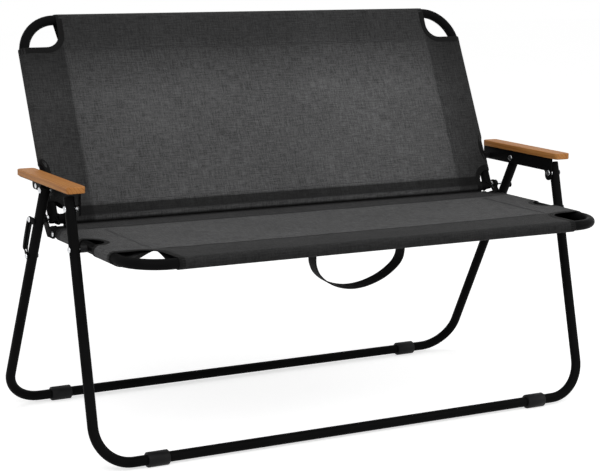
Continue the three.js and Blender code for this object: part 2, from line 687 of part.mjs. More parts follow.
// A sling in its own plane: the frame's straight ends at y 0, its bent corners at y length,
// and the panel on the +z side of the tubes
function sling(half, length, hems, cutOut, notch) {
  const sideRun = length - hems.square - cutOut.deep;
  const sideY = hems.square + sideRun / 2;
  const rows = [
    [new THREE.Vector3(0, 1, 0), new THREE.Vector3(0, 0, 0), hems.square, 2 * (half - HEM_END_SET)],
    [new THREE.Vector3(0, -1, 0), new THREE.Vector3(0, length, 0), hems.bent, 2 * (half - cutOut.wide)],
    [new THREE.Vector3(1, 0, 0), new THREE.Vector3(-half, sideY, 0), SIDE_HEM, sideRun],
    [new THREE.Vector3(-1, 0, 0), new THREE.Vector3(half, sideY, 0), SIDE_HEM, sideRun],
  ];
  const skins = rows.map(([inward, centre, width, run]) => {
    return hemRun(hemSection(hemR, width, hemR), inward, centre, run);
  });
  const hollows = rows.map(([inward, centre, width, run]) => {
    return hemRun(hemSection(sleeveR, width - SEAM, sleeveR), inward, centre, run + 2 * GAP);
  });
  const panel = new THREE.BoxGeometry(2 * half, length, FABRIC_WALL);
  panel.translate(0, length / 2, sleeveR + FABRIC_WALL / 2);

  const out = hemR + OVERRUN;
  const corner = new THREE.Shape();
  const [cx, cy] = [half - cutOut.wide + cutOut.r, length - cutOut.deep + cutOut.r];
  corner.absarc(cx, cy, cutOut.r, Math.PI, 1.5 * Math.PI, false);
  corner.lineTo(half + out, length - cutOut.deep);
  corner.lineTo(half + out, length + out);
  corner.lineTo(half - cutOut.wide, length + out);
  const hole = new THREE.Shape();
  hole.absarc(half, CORNER_HOLE_SET, CORNER_HOLE_R, 0, 2 * Math.PI, false);
  const ellipse = new THREE.Shape();
  const notchMid = (notch.from + notch.to) / 2;
  const notchHalf = (notch.to - notch.from) / 2;
  ellipse.absellipse(half + hemR, notchMid, notch.depth + hemR, notchHalf, 0, 2 * Math.PI);
  const cutters = [corner, hole, ellipse].flatMap((shape) => {
    const geometry = new THREE.ExtrudeGeometry(shape, {
      depth: 2 * out,
      bevelEnabled: false,
      curveSegments: CUT_STEPS,
    });
    geometry.translate(0, 0, -out);
    return [geometry, mirrored(geometry)];
  });
  return shown(cut(join([panel, ...skins]), [...hollows, ...cutters]));
}

function addSlings() {
  const seatAt = SEAT_REAR_Y - seatPivot.x;
  const seat = sling(
    seatHalf,
    SEAT_DEPTH,
    { square: SEAT_REAR_HEM, bent: SEAT_FRONT_HEM },
    { wide: SEAT_CUT_WIDE, deep: SEAT_CUT_DEEP, r: SEAT_CUT_R },
    { from: seatAt - SEAT_NOTCH_AFT, to: seatAt + SEAT_NOTCH_FORE, depth: SEAT_NOTCH_DEPTH },
  );
  seat.rotateZ(Math.PI);
  seat.translate(0, SEAT_REAR_Y, SEAT_Z);
  add('seat_fabric', seat, fabric);

  const backAt = armPivot.distanceTo(backFoot);
  const back = sling(
    BACK_HALF,
    BACK_LENGTH,
    { square: BACK_BOTTOM_HEM, bent: BACK_TOP_HEM },
    { wide: BACK_CUT_WIDE, deep: BACK_CUT_DEEP, r: BACK_CUT_R },
    { from: backAt - BACK_NOTCH_BELOW, to: backAt + BACK_NOTCH_ABOVE, depth: BACK_NOTCH_DEPTH },
  );
  back.rotateX(Math.PI / 2 - rad(BACK_LEAN));
  back.translate(0, BACK_FOOT_Y, BACK_FOOT_Z);
  add('back_fabric', back, fabric);
}
addSlings();

// Carry strap: a webbing loop sewn under the seam of the seat's front hem
function addStrap() {
  const slope = Math.tan(loopEnd(hemR, SEAT_FRONT_HEM) + Math.PI / 2);
  const topZ = SEAT_Z + sleeveR - (slope * STRAP_WIDTH) / 2 - GAP;
  const y = seatFrontY + SEAT_FRONT_HEM;
  const route = new THREE.CatmullRomCurve3(STRAP_ROUTE_SHARES.map(([across, down]) => {
    return new THREE.Vector3(across * STRAP_HALF_SPAN, y, topZ - down * STRAP_DROP);
  }));
  const stations = [];
  for (let k = 0; k <= STRAP_STEPS; k += 1) {
    const t = k / STRAP_STEPS;
    stations.push({ point: route.getPointAt(t), tangent: route.getTangentAt(t) });
  }
  stations[0].tangent.set(0, 0, -1);
  stations[STRAP_STEPS].tangent.set(0, 0, 1);
  const [thick, wide] = [STRAP_THICK / 2, STRAP_WIDTH / 2];
  const section = new THREE.Shape([at(-thick, -wide), at(thick, -wide), at(thick, wide), at(-thick, wide)]);
  add('carry_strap', new THREE.ExtrudeGeometry(section, {
    steps: STRAP_STEPS,
    bevelEnabled: false,
    extrudePath: new BentPath(stations, new THREE.Vector3(0, 1, 0)),
  }), webbing);
}
addStrap();

export default bench;
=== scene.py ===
import json
import math

import bpy
import numpy as np
from mathutils import Matrix, Vector, noise
from mathutils.geometry import delaunay_2d_cdt


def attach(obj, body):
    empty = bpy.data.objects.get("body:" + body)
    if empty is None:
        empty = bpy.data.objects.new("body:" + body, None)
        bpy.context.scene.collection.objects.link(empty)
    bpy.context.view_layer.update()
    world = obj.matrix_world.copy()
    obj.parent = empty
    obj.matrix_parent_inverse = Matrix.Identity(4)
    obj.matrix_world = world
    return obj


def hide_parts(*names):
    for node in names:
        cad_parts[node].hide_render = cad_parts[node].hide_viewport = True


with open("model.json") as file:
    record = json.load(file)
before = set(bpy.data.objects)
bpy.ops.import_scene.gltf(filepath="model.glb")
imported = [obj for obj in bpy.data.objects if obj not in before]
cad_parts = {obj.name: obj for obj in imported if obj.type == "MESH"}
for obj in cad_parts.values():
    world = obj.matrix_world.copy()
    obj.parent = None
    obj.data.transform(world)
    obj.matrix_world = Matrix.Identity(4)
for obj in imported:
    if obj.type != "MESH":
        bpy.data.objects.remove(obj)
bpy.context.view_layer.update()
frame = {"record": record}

# Folding camping loveseat. Lengths are in millimetres here, and every mesh is written in metres.
scene = bpy.context.scene
MM = 0.001

# The frame's driving places, as in the part's source
SHIFT = -202.2
TUBE_R = 10.0
TUBE_WALL = 1.2
GAP = 0.3
BEND_R = 73.0
FOOT_Z = 14.0
FOOT_SPREAD = 501.7
FRONT_LEAN, REAR_LEAN, BACK_LEAN = 14.04, 27.74, 25.33
BACK_FOOT = Vector((304.5, 421.0))
BACK_LENGTH = 412.0
SEAT_Z = 400.0
SEAT_REAR_Y = 287.0
SEAT_DEPTH = 387.0
BACK_HALF, SEAT_HALF = 511.0, 516.0
PLATE_IN, PLATE_OUT = 526.3, 529.3
WEB_IN, WEB_OUT = 533.0, 535.0
REAR_HALF, FRONT_HALF = 547.0, 550.0
GUIDE_IN, GUIDE_OUT = 557.3, 559.8
FRAME_JOINT_X = 395.0
LEG_JOINT_INSET = 120.0
PIN_R, PIN_HEAD_R, PIN_HEAD = 3.0, 6.0, 3.2
LOW_HEAD, FLAT_HEAD = 1.6, 1.5
CORNER_HEAD_R, SHOULDER_R = 4.4, 6.0
RIVET_R, RIVET_HEAD_R = 2.5, 5.0
BUSH_R, SMALL_BUSH_R = 8.5, 6.5
FIT = 0.1
ARM_PIVOT_Z, REAR_PIVOT_Z, FRONT_PIVOT_Z = 484.1, 488.5, 472.66
CORNER_PIN_AFT, CORNER_PIN_RISE = 2.5, 3.04
FRONT_REACH, REAR_REACH = 21.5, 7.0
SEAT_TAIL, BACK_TAIL = 10.0, 6.0
CAP_BRIM = 1.8
SWING_CLEARANCE = 0.8

# Turns from open to folded, in degrees, as the back sees them
ARM_FOLD, REAR_LEG_FOLD = 111.01, 57.5

# Cloth round the tubes: half its thickness, and how much looser it runs round a straight end
HALF_CLOTH = 0.75
SLEEVE_R = TUBE_R + GAP
CLOTH_MID = SLEEVE_R + HALF_CLOTH
HEM_R = SLEEVE_R + 2 * HALF_CLOTH
END_MID = CLOTH_MID + 0.2
END_SLACK = 1.1


def lean(degrees, back=1):
    a = math.radians(degrees)
    return Vector((back * math.sin(a), math.cos(a)))


FRONT_DIR, REAR_DIR, BACK_DIR = lean(FRONT_LEAN), lean(REAR_LEAN, -1), lean(BACK_LEAN)
SEAT_DIR = Vector((-1.0, 0.0))
FRONT_FOOT = Vector((0.0, FOOT_Z))
REAR_FOOT = Vector((FOOT_SPREAD, FOOT_Z))
SEAT_REAR = Vector((SEAT_REAR_Y, SEAT_Z))


def on_line(foot, way, z):
    return foot + way * ((z - foot.y) / way.y)


ARM_PIVOT = on_line(BACK_FOOT, BACK_DIR, ARM_PIVOT_Z)
REAR_PIVOT = on_line(REAR_FOOT, REAR_DIR, REAR_PIVOT_Z)
FRONT_PIVOT = on_line(FRONT_FOOT, FRONT_DIR, FRONT_PIVOT_Z)
SEAT_PIVOT = on_line(FRONT_FOOT, FRONT_DIR, SEAT_Z)
CORNER_PIN = BACK_FOOT + Vector((CORNER_PIN_AFT, CORNER_PIN_RISE))
FRONT_TOP = FRONT_PIVOT + FRONT_DIR * FRONT_REACH
REAR_TOP = REAR_PIVOT + REAR_DIR * REAR_REACH
ARM_UNDER = REAR_PIVOT_Z + math.hypot(REAR_REACH + GAP + CAP_BRIM / 2, TUBE_R) + SWING_CLEARANCE
ARM_TOP = ARM_UNDER + (WEB_OUT - WEB_IN)
BOARD_UNDER = ARM_TOP + GAP


def bench(x, place):
    return Vector((x, place.x + SHIFT, place.y))


# Which body each CAD node is on
BODY_OF = {n: b for b, ns in frame["record"]["behaviour"]["bodies"].items() for n in ns}


# Materials
def feed(tree, made, ins):
    """Link or set the named inputs of a node."""
    for key, value in ins.items():
        if isinstance(value, bpy.types.NodeSocket):
            tree.links.new(value, made.inputs[key])
        else:
            made.inputs[key].default_value = value


def node(tree, kind, ins=None, **props):
    made = tree.nodes.new(kind)
    for key, value in props.items():
        setattr(made, key, value)
    feed(tree, made, ins or {})
    return made


def new_material(name):
    made = bpy.data.materials.new(name)
    made.use_nodes = True
    tree = made.node_tree
    shader = next(n for n in tree.nodes if n.type == "BSDF_PRINCIPLED")
    return made, tree, shader


def grey(v):
    return (v, v, v, 1.0)


def ramp(tree, fac, stops):
    made = node(tree, "ShaderNodeValToRGB", {"Fac": fac})
    els = made.color_ramp.elements
    while len(els) < len(stops):
        els.new(0.5)
    for el, (pos, colour) in zip(els, stops):
        el.position = pos
        el.color = colour
    return made.outputs["Color"]


def math_node(tree, operation, *values):
    return node(tree, "ShaderNodeMath", dict(enumerate(values)), operation=operation).outputs[0]


def mixed(tree, share, a, b, **props):
    made = node(tree, "ShaderNodeMix", {"Factor": share, "A": a, "B": b}, data_type="RGBA", **props)
    return made.outputs["Result"]


def mapped(tree, vector, stretch, turn=(0.0, 0.0, 0.0)):
    ins = {"Vector": vector, "Scale": stretch, "Rotation": turn}
    return node(tree, "ShaderNodeMapping", ins).outputs[0]


def noise_map(tree, vector, scale, detail=3.0, rough=0.5, stretch=(1.0, 1.0, 1.0)):
    placed = mapped(tree, vector, stretch)
    ins = {"Vector": placed, "Scale": scale, "Detail": detail, "Roughness": rough}
    return node(tree, "ShaderNodeTexNoise", ins).outputs["Fac"]


def object_place(tree):
    return node(tree, "ShaderNodeTexCoord").outputs["Object"]


def object_noise(tree, scale, detail=3.0, rough=0.5):
    return noise_map(tree, object_place(tree), scale, detail, rough)


def spread(tree, value, low, high, from_low=0.3, from_high=0.7):
    made = node(tree, "ShaderNodeMapRange", {
        "Value": value, "From Min": from_low, "From Max": from_high, "To Min": low, "To Max": high,
    })
    return made.outputs["Result"]


def bump(tree, shader, height, strength, distance):
    made = node(tree, "ShaderNodeBump", {"Height": height, "Strength": strength, "Distance": distance})
    tree.links.new(made.outputs["Normal"], shader.inputs["Normal"])


def powder_coat():
    made, tree, shader = new_material("powder_coat")
    broad = object_noise(tree, 14.0)
    fine = object_noise(tree, 1400.0, 2.0)
    dust = object_noise(tree, 90.0, 6.0, 0.7)
    tone = ramp(tree, broad, [(0.3, (0.0045, 0.0045, 0.0046, 1)), (0.7, (0.0065, 0.0065, 0.0067, 1))])
    scuff = spread(tree, dust, 0.0, 0.03, 0.68, 0.8)
    feed(tree, shader, {
        "Base Color": mixed(tree, scuff, tone, (0.09, 0.09, 0.092, 1)),
        "Roughness": spread(tree, dust, 0.36, 0.52),
        "Specular IOR Level": 0.04,
        "IOR": 1.25,
    })
    bump(tree, shader, fine, 0.22, 0.0001)
    return made


def zinc():
    made, tree, shader = new_material("zinc_plate")
    fine = object_noise(tree, 900.0, 4.0)
    broad = object_noise(tree, 120.0)
    feed(tree, shader, {
        "Base Color": ramp(tree, broad, [(0.3, (0.52, 0.53, 0.55, 1)), (0.7, (0.7, 0.71, 0.72, 1))]),
        "Roughness": spread(tree, fine, 0.2, 0.38),
        "Metallic": 1.0,
    })
    bump(tree, shader, fine, 0.15, 0.0001)
    return made


def plastic():
    made, tree, shader = new_material("black_plastic")
    fine = object_noise(tree, 1800.0, 2.0)
    broad = object_noise(tree, 40.0, 4.0)
    tone = ramp(tree, broad, [(0.3, (0.0055, 0.0055, 0.006, 1)), (0.7, (0.009, 0.009, 0.0095, 1))])
    feed(tree, shader, {
        "Base Color": tone,
        "Roughness": spread(tree, broad, 0.45, 0.62),
        "Specular IOR Level": 0.12,
    })
    bump(tree, shader, fine, 0.3, 0.00012)
    return made


def wood():
    made, tree, shader = new_material("oiled_wood")
    place = object_place(tree)
    drift = noise_map(tree, place, 2.0, stretch=(14.0, 2.2, 14.0))
    pores = noise_map(tree, place, 1500.0, rough=0.6, stretch=(1.0, 0.035, 1.0))
    rings = node(tree, "ShaderNodeTexWave", {
        "Vector": mapped(tree, place, (1.0, 0.05, 1.25), (0.0, 0.5, 0.02)),
        "Scale": 46.0, "Distortion": 7.0, "Detail": 3.0, "Detail Scale": 1.4,
    }, wave_type="BANDS", bands_direction="X").outputs["Fac"]
    base = ramp(tree, rings, [
        (0.0, (0.34, 0.13, 0.03, 1)), (0.45, (0.43, 0.175, 0.043, 1)),
        (0.8, (0.49, 0.21, 0.056, 1)), (1.0, (0.37, 0.145, 0.035, 1)),
    ])
    dark = mixed(tree, spread(tree, pores, 0.42, 0.0, 0.32, 0.5), base, (0.22, 0.078, 0.02, 1))
    wide = mixed(tree, spread(tree, drift, 0.0, 0.35, 0.42, 0.7), dark, (0.56, 0.27, 0.085, 1))
    feed(tree, shader, {
        "Base Color": wide,
        "Roughness": spread(tree, pores, 0.62, 0.48),
        "Specular IOR Level": 0.22,
    })
    bump(tree, shader, pores, 0.35, 0.0002)
    return made


def woven(name, dark, light, hem_tones_and_painted_shading, pitch, rough):
    """Plain weave that repeats after pitch millimetres, over the flat pattern's own UV, in metres.

    The tone stops for an axis give (place in mm, share of the full tone), for darker double cloth in hems and
    for painted shade and painted light.
    """
    made, tree, shader = new_material(name)
    uv = node(tree, "ShaderNodeUVMap", uv_map="pattern").outputs["UV"]
    parts = node(tree, "ShaderNodeSeparateXYZ", {"Vector": uv}).outputs
    turn = 2 * math.pi / (pitch * MM)
    across, along = (math_node(tree, "SINE", math_node(tree, "MULTIPLY", parts[axis], turn)) for axis in "XY")
    height = math_node(tree, "MULTIPLY_ADD", math_node(tree, "MULTIPLY", across, along), 0.5, 0.5)

    long, short = 1.0, 0.09
    weft = noise_map(tree, uv, 420.0, 2.0, 0.6, (short, long, 1.0))
    warp = noise_map(tree, uv, 420.0, 2.0, 0.6, (long, short, 1.0))
    cloud = noise_map(tree, uv, 9.0, 4.0, 0.6)
    fuzz = noise_map(tree, uv, 330.0, 2.0, 0.6)
    mottle = math_node(tree, "ADD", weft, warp)
    mottle = math_node(tree, "ADD", mottle, math_node(tree, "MULTIPLY", fuzz, 0.8))
    mottle = math_node(tree, "MULTIPLY_ADD", mottle, 1.5, -1.6)
    for part in (cloud, height):
        mottle = math_node(tree, "ADD", mottle, math_node(tree, "MULTIPLY_ADD", part, 0.5, -0.25))
    colour = ramp(tree, mottle, [(0.0, dark), (1.0, light)])

    # Each axis's stops multiply the colour: darker double cloth in hems, with painted shade and painted light
    for axis, stops in hem_tones_and_painted_shading.items():
        low, high = stops[0][0], stops[-1][0]
        along_axis = spread(tree, parts[axis], 0.0, 1.0, low * MM, high * MM)
        shade = ramp(tree, along_axis, [((at - low) / (high - low), grey(share)) for at, share in stops])
        colour = mixed(tree, 1.0, colour, shade, blend_type="MULTIPLY")
    feed(tree, shader, {
        "Base Color": colour,
        "Roughness": spread(tree, mottle, rough - 0.06, rough + 0.06, 0.0, 1.0),
        "Specular IOR Level": 0.1,
        "Sheen Weight": 0.02,
        "Sheen Roughness": 0.5,
    })
    bump(tree, shader, height, 0.5, 0.00025)
    return made


MATERIALS = {"coated_steel": powder_coat(), "zinc": zinc(), "plastic": plastic(), "wood": wood()}


# Meshes
def make(name, verts, faces, material, body, slot, nodes=(), smooth=40.0, uv=None):
    mesh = bpy.data.meshes.new(name)
    mesh.from_pydata([(v[0] * MM, v[1] * MM, v[2] * MM) for v in verts], [], faces)
    if uv is not None:
        layer = mesh.uv_layers.new(name="pattern")
        for loop in mesh.loops:
            u, v = uv[loop.vertex_index]
            layer.data[loop.index].uv = (u * MM, v * MM)
    mesh.validate()
    mesh.polygons.foreach_set("use_smooth", [True] * len(mesh.polygons))
    mesh.set_sharp_from_angle(angle=math.radians(smooth))
    mesh.materials.append(material)
    made = bpy.data.objects.new(name, mesh)
    scene.collection.objects.link(made)
    if nodes:
        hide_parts(*nodes)
    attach(made, body)
    return made


def make_pair(name, verts, faces, slot, body=None, replace=True):
    """The right-hand piece as given and its mirror image, each in place of the CAD node of its name."""
    mirrored = [(-v[0], v[1], v[2]) for v in verts], [tuple(reversed(f)) for f in faces]
    for side, (v, f) in (("right", (verts, faces)), ("left", mirrored)):
        target = f"{name}_{side}"
        nodes = [target] if replace else []
        make(f"{target}_look", v, f, MATERIALS[slot], body or BODY_OF[target], slot, nodes)


ACROSS, AFT, UP = Vector((1, 0, 0)), Vector((0, 1, 0)), Vector((0, 0, 1))


def turns(n):
    return [2 * math.pi * k / n for k in range(n)]


def circle(centre, a_way, b_way, r, n):
    return [centre + (a_way * math.cos(t) + b_way * math.sin(t)) * r for t in turns(n)]


def merge(parts):
    verts, faces = [], []
    for v, f in parts:
        base = len(verts)
        verts.extend(v)
        faces.extend(tuple(i + base for i in face) for face in f)
    return verts, faces


def loft(rings, closed=False):
    """Skin over rings of equal length, whose points run anticlockwise seen from the far end."""
    n = len(rings[0])
    verts = [tuple(p) for ring in rings for p in ring]
    faces = []
    count = len(rings)
    for i in range(count if closed else count - 1):
        j = (i + 1) % count
        for k in range(n):
            m = (k + 1) % n
            faces.append((i * n + k, i * n + m, j * n + m, j * n + k))
    if not closed:
        faces.append(tuple(reversed(range(n))))
        faces.append(tuple((count - 1) * n + k for k in range(n)))
    return verts, faces


def bent_stations(corners, steps=16):
    def heading(i):
        return (corners[i + 1] - corners[i]).normalized()

    stations = [(corners[0], heading(0))]
    for i in range(1, len(corners) - 1):
        into, out = heading(i - 1), heading(i)
        turn = into.angle(out)
        start = corners[i] - into * (BEND_R * math.tan(turn / 2))
        inward = (out - into * into.dot(out)).normalized()
        for k in range(steps + 1):
            a = turn * k / steps
            point = start + into * (BEND_R * math.sin(a)) + inward * (BEND_R * (1 - math.cos(a)))
            stations.append((point, into * math.cos(a) + inward * math.sin(a)))
    stations.append((corners[-1], heading(len(corners) - 2)))
    return stations


def tube(corners, plane_normal, open_ends=True):
    """A round tube through corners that lie in one plane. An open end has a lip and a bore."""
    stations = bent_stations(corners)

    def ring(point, tangent, r):
        return circle(point, plane_normal.cross(tangent).normalized(), plane_normal, r, 36)

    lip = [(0.0, TUBE_R)]
    if open_ends:
        bore, deep, eased = TUBE_R - TUBE_WALL, 14.0, 0.35
        lip = [(deep, bore), (eased, bore), (0.0, bore + 0.3), (0.0, TUBE_R - eased), (eased, TUBE_R)]
    first, first_way = stations[0]
    last, last_way = stations[-1]
    rings = [ring(first + first_way * d, first_way, r) for d, r in lip]
    rings += [ring(p, w, TUBE_R) for p, w in stations[1:-1]]
    rings += [ring(last - last_way * d, last_way, r) for d, r in reversed(lip)]
    return loft(rings)


def cross_rail(name, half, place, body):
    """A straight tube across the bench, in place of the CAD node of its name."""
    verts, faces = tube([bench(-half, place), bench(half, place)], UP, open_ends=False)
    make(f"{name}_look", verts, faces, MATERIALS["coated_steel"], body, "coated_steel", [name])


def lathe(profile, place):
    """A turned piece across the bench from its (x, radius) profile, which runs outwards."""
    return loft([circle(bench(x, place), AFT, UP, r, 32) for x, r in profile])


def dome(x, r, depth, way):
    """A round head's profile, from its rim at x to its crown at x + way * depth."""
    points = [(x, r * 0.94), (x + way * depth * 0.08, r)]
    for k in range(1, 8):
        a = math.radians(12 * k)
        points.append((x + way * depth * (0.16 + 0.84 * math.sin(a)), r * math.cos(a)))
    points.append((x + way * depth, r * 0.02))
    return points


def headed(x0, x1, r, low, high, shoulder=()):
    """A pin's profile: low and high are its inner and outer head's (height, radius)."""
    inner, outer = reversed(dome(x0, low[1], low[0], -1)), dome(x1, high[1], high[0], 1)
    wider = []
    if shoulder:
        start, end = shoulder
        wider = [(start, r), (start, SHOULDER_R), (end, SHOULDER_R), (end, r)]
    return [*inner, (x0, r), *wider, (x1, r), *outer]


def bush(r, x0, x1):
    inner, eased = PIN_R + 0.2, 0.5
    return [(x0, inner), (x0, r - eased), (x0 + eased, r), (x1 - eased, r), (x1, r - eased), (x1, inner)]


# Flat plates, from shapes in the side view
def arc(centre, r, a0, a1, n=14):
    angles = [a0 + (a1 - a0) * k / n for k in range(n + 1)]
    return [Vector((centre.x + r * math.cos(a), centre.y + r * math.sin(a))) for a in angles]


def capsule(a, b, half):
    turn = math.atan2(b.y - a.y, b.x - a.x)
    back = arc(a, half, turn + math.pi / 2, turn + 1.5 * math.pi)
    return back + arc(b, half, turn - math.pi / 2, turn + math.pi / 2)


def disc(centre, r, n=32):
    return arc(centre, r, 0, 2 * math.pi * (n - 1) / n, n - 1)


def prism(shape, x0, x1):
    return loft([[bench(x, p) for p in shape] for x in (x0, x1)])


def carved(adds, cuts, bevel=0.4):
    """One body from overlapping pieces, less the cutters, with its edges eased."""
    def temp(part):
        mesh = bpy.data.meshes.new("temp")
        mesh.from_pydata([tuple(v) for v in part[0]], [], part[1])
        made = bpy.data.objects.new("temp", mesh)
        scene.collection.objects.link(made)
        return made

    body = temp(adds[0])
    tools = [(temp(p), "UNION") for p in adds[1:]] + [(temp(p), "DIFFERENCE") for p in cuts]
    for tool, way in tools:
        modifier = body.modifiers.new("cut", "BOOLEAN")
        modifier.operation = way
        modifier.solver = "EXACT"
        modifier.object = tool
    if bevel:
        ease = body.modifiers.new("ease", "BEVEL")
        ease.width = bevel
        ease.segments = 2
        ease.limit_method = "ANGLE"
        ease.angle_limit = math.radians(35)
    graph = bpy.context.evaluated_depsgraph_get()
    mesh = bpy.data.meshes.new_from_object(body.evaluated_get(graph))
    verts = [tuple(v.co) for v in mesh.vertices]
    faces = [tuple(p.vertices) for p in mesh.polygons]
    for made in [body] + [t for t, _ in tools]:
        data = made.data
        bpy.data.objects.remove(made)
        bpy.data.meshes.remove(data)
    bpy.data.meshes.remove(mesh)
    return verts, faces


# The steel frame
RAIL_SINK = 1.5
FOOT_WALL, FOOT_LENGTH = 4.2, 43.0


def side_corners(half, foot, way, length, tail):
    far = foot + way * length
    return [bench(half, foot - way * tail), bench(half, far), bench(FRAME_JOINT_X + GAP / 2, far)]


def weld_bead(half, foot, way):
    """Bead where a rail meets the side tube: the curve where two equal round tubes cross."""
    bead_r, stand, sunk = 1.5, 0.2, 0.4
    up = Vector((0, -way.y, way.x))
    along = Vector((0, way.x, way.y))
    centre = bench(0, foot)
    sweep_r = TUBE_R + stand
    points = []
    for a in turns(72):
        across = Vector((half - sweep_r * abs(math.cos(a)) - sunk, 0, 0))
        points.append(centre + across + along * (sweep_r * math.cos(a)) + up * (sweep_r * math.sin(a)))
    rings = []
    for k, point in enumerate(points):
        ahead = (points[(k + 1) % len(points)] - points[k - 1]).normalized()
        out = (point - centre - Vector((point.x, 0, 0))).normalized()
        side = ahead.cross(out).normalized()
        size = bead_r * (1 + 0.18 * math.sin(k * 2.3) * noise.noise(point * 0.3))
        rings.append(circle(point, side, out, size, 8))
    return loft(rings, closed=True)


def build_frame():
    for name, half, foot, way, top in (
        ("front", FRONT_HALF, FRONT_FOOT, FRONT_DIR, FRONT_TOP),
        ("rear", REAR_HALF, REAR_FOOT, REAR_DIR, REAR_TOP),
    ):
        joint = half - LEG_JOINT_INSET
        plane = Vector((0, way.y, -way.x))
        corners = [bench(half, top), bench(half, foot), bench(joint + GAP / 2, foot)]
        make_pair(f"{name}_leg", *tube(corners, plane), "coated_steel")
        cross_rail(f"{name}_rail", joint - GAP / 2, foot, BODY_OF[f"{name}_rail"])
        make_pair(f"{name}_foot", *foot_sleeve(joint, foot), "plastic")
        make_pair(f"{name}_leg_cap", *leg_cap(half, top, way), "plastic")

    for name, half, foot, way, length, tail, near, far in (
        ("seat", SEAT_HALF, SEAT_REAR, SEAT_DIR, SEAT_DEPTH, SEAT_TAIL, "rear", "front"),
        ("back", BACK_HALF, BACK_FOOT, BACK_DIR, BACK_LENGTH, BACK_TAIL, "bottom", "top"),
    ):
        plane = Vector((0, -way.y, way.x))
        side = tube(side_corners(half, foot, way, length, tail), plane)
        make_pair(f"{name}_side", *side, "coated_steel")
        cross_rail(f"{name}_{far}_rail", FRAME_JOINT_X - GAP, foot + way * length, name)
        cross_rail(f"{name}_{near}_rail", half - TUBE_R + RAIL_SINK, foot, name)
        bead = weld_bead(half, foot, way)
        make_pair(f"{name}_{near}_weld", *bead, "coated_steel", body=name, replace=False)


def foot_sleeve(joint, foot):
    """A moulded sleeve round the tube, flat underneath, with eased ends."""
    outer, eased = SLEEVE_R + FOOT_WALL, 1.6
    start, end = joint - FOOT_LENGTH / 2, joint + FOOT_LENGTH / 2

    def section(x, r, floor=0.0):
        return [Vector((x, foot.x + r * math.cos(a) + SHIFT, max(foot.y + r * math.sin(a), floor)))
                for a in turns(48)]

    lip = [(0.0, SLEEVE_R), (0.0, outer - eased), (0.5, outer - 0.6), (eased, outer)]
    floors = [0.6 * min(0.5, eased - d) for d, _ in lip]
    rings = [section(start + d, r, floor) for (d, r), floor in zip(lip, floors)]
    rings += [section(end - d, r, floor) for (d, r), floor in reversed(list(zip(lip, floors)))]
    rings += [section(end - 0.01, SLEEVE_R - 0.1)]
    return loft(rings)


def leg_cap(half, top, way):
    """A domed plug in the open end of a leg."""
    along = Vector((0, way.x, way.y))
    aside = Vector((0, -way.y, way.x))
    base = bench(half, top)
    rim, crown = GAP + 0.3, 1.4
    profile = [(GAP, TUBE_R - 1.2), (GAP, TUBE_R - 0.2), (rim, TUBE_R)]
    profile += [(rim + crown * math.sin(a), TUBE_R * math.cos(a) ** 0.35)
                for a in (math.radians(d) for d in (15, 35, 55, 70, 80, 86))]
    profile.append((GAP + 1.75, 0.2))
    return loft([circle(base + along * d, ACROSS, aside, r, 32) for d, r in profile])


# Pins, rivets and bushes
GUIDE_STEPS = 24
GUIDE_HALF, GUIDE_END_HALF, GUIDE_SLOT_HALF = 6.0, 6.5, 3.5
BRACKET_HALF, BRACKET_REAR_HALF, BRACKET_SLOT_HALF = 9.0, 9.5, 4.5
BRACKET_SLOT_DROP = 3.8
SEAT_RIVET_SET = 25.0
GUIDE_OVER, GUIDE_RIVET_UNDER = 9.0, 10.0


def guide_route():
    """The corner pin's way along the rear leg while the bench folds."""
    def spin(p, centre, degrees):
        a = math.radians(degrees)
        d = p - centre
        return centre + Vector((d.x * math.cos(a) - d.y * math.sin(a), d.x * math.sin(a) + d.y * math.cos(a)))

    route = []
    for k in range(GUIDE_STEPS + 1):
        share = k / GUIDE_STEPS
        pivot_now = spin(REAR_PIVOT, ARM_PIVOT, -ARM_FOLD * share)
        route.append(spin(CORNER_PIN - pivot_now + REAR_PIVOT, REAR_PIVOT, REAR_LEG_FOLD * share))
    return route


def band(route, half):
    """The outline of a strip that is half wide to both sides of a route."""
    last = len(route) - 1
    heads = []
    for i in range(len(route)):
        step = route[min(i + 1, last)] - route[max(i - 1, 0)]
        heads.append(math.atan2(step.y, step.x))

    def aside(i, turn):
        a = heads[i] + turn
        return route[i] + Vector((math.cos(a), math.sin(a))) * half

    shape = arc(route[0], half, heads[0] + math.pi / 2, heads[0] + 1.5 * math.pi)
    shape += [aside(i, -math.pi / 2) for i in range(1, last)]
    shape += arc(route[last], half, heads[last] - math.pi / 2, heads[last] + math.pi / 2)
    shape += [aside(i, math.pi / 2) for i in range(last - 1, 0, -1)]
    return shape


def cutter(shape, x0, x1, past=3.0):
    return prism(shape, x0 - past, x1 + past)


def guide_strip(route, rivet):
    """The slotted strip on a rear leg, wide enough for the slot and for the leg behind it."""
    def part(shape):
        return prism(shape, GUIDE_IN, GUIDE_OUT)

    aside = Vector((-REAR_DIR.y, REAR_DIR.x)) * GUIDE_HALF
    top = on_rear_leg(route[0], -GUIDE_OVER)
    return carved([
        part(band(route, GUIDE_HALF)),
        part(band([p + aside for p in route], GUIDE_HALF)),
        part(capsule(top, route[0], GUIDE_END_HALF)),
        part(capsule(rivet, route[-1], GUIDE_END_HALF)),
    ], [
        cutter(band(route, GUIDE_SLOT_HALF), GUIDE_IN, GUIDE_OUT),
        cutter(disc(rivet, RIVET_R + FIT), GUIDE_IN, GUIDE_OUT),
    ])


def on_rear_leg(p, more):
    """The spot on the rear leg's axis beside p, moved down by more."""
    down = -REAR_DIR
    return REAR_PIVOT + down * ((p - REAR_PIVOT).dot(down) + more)


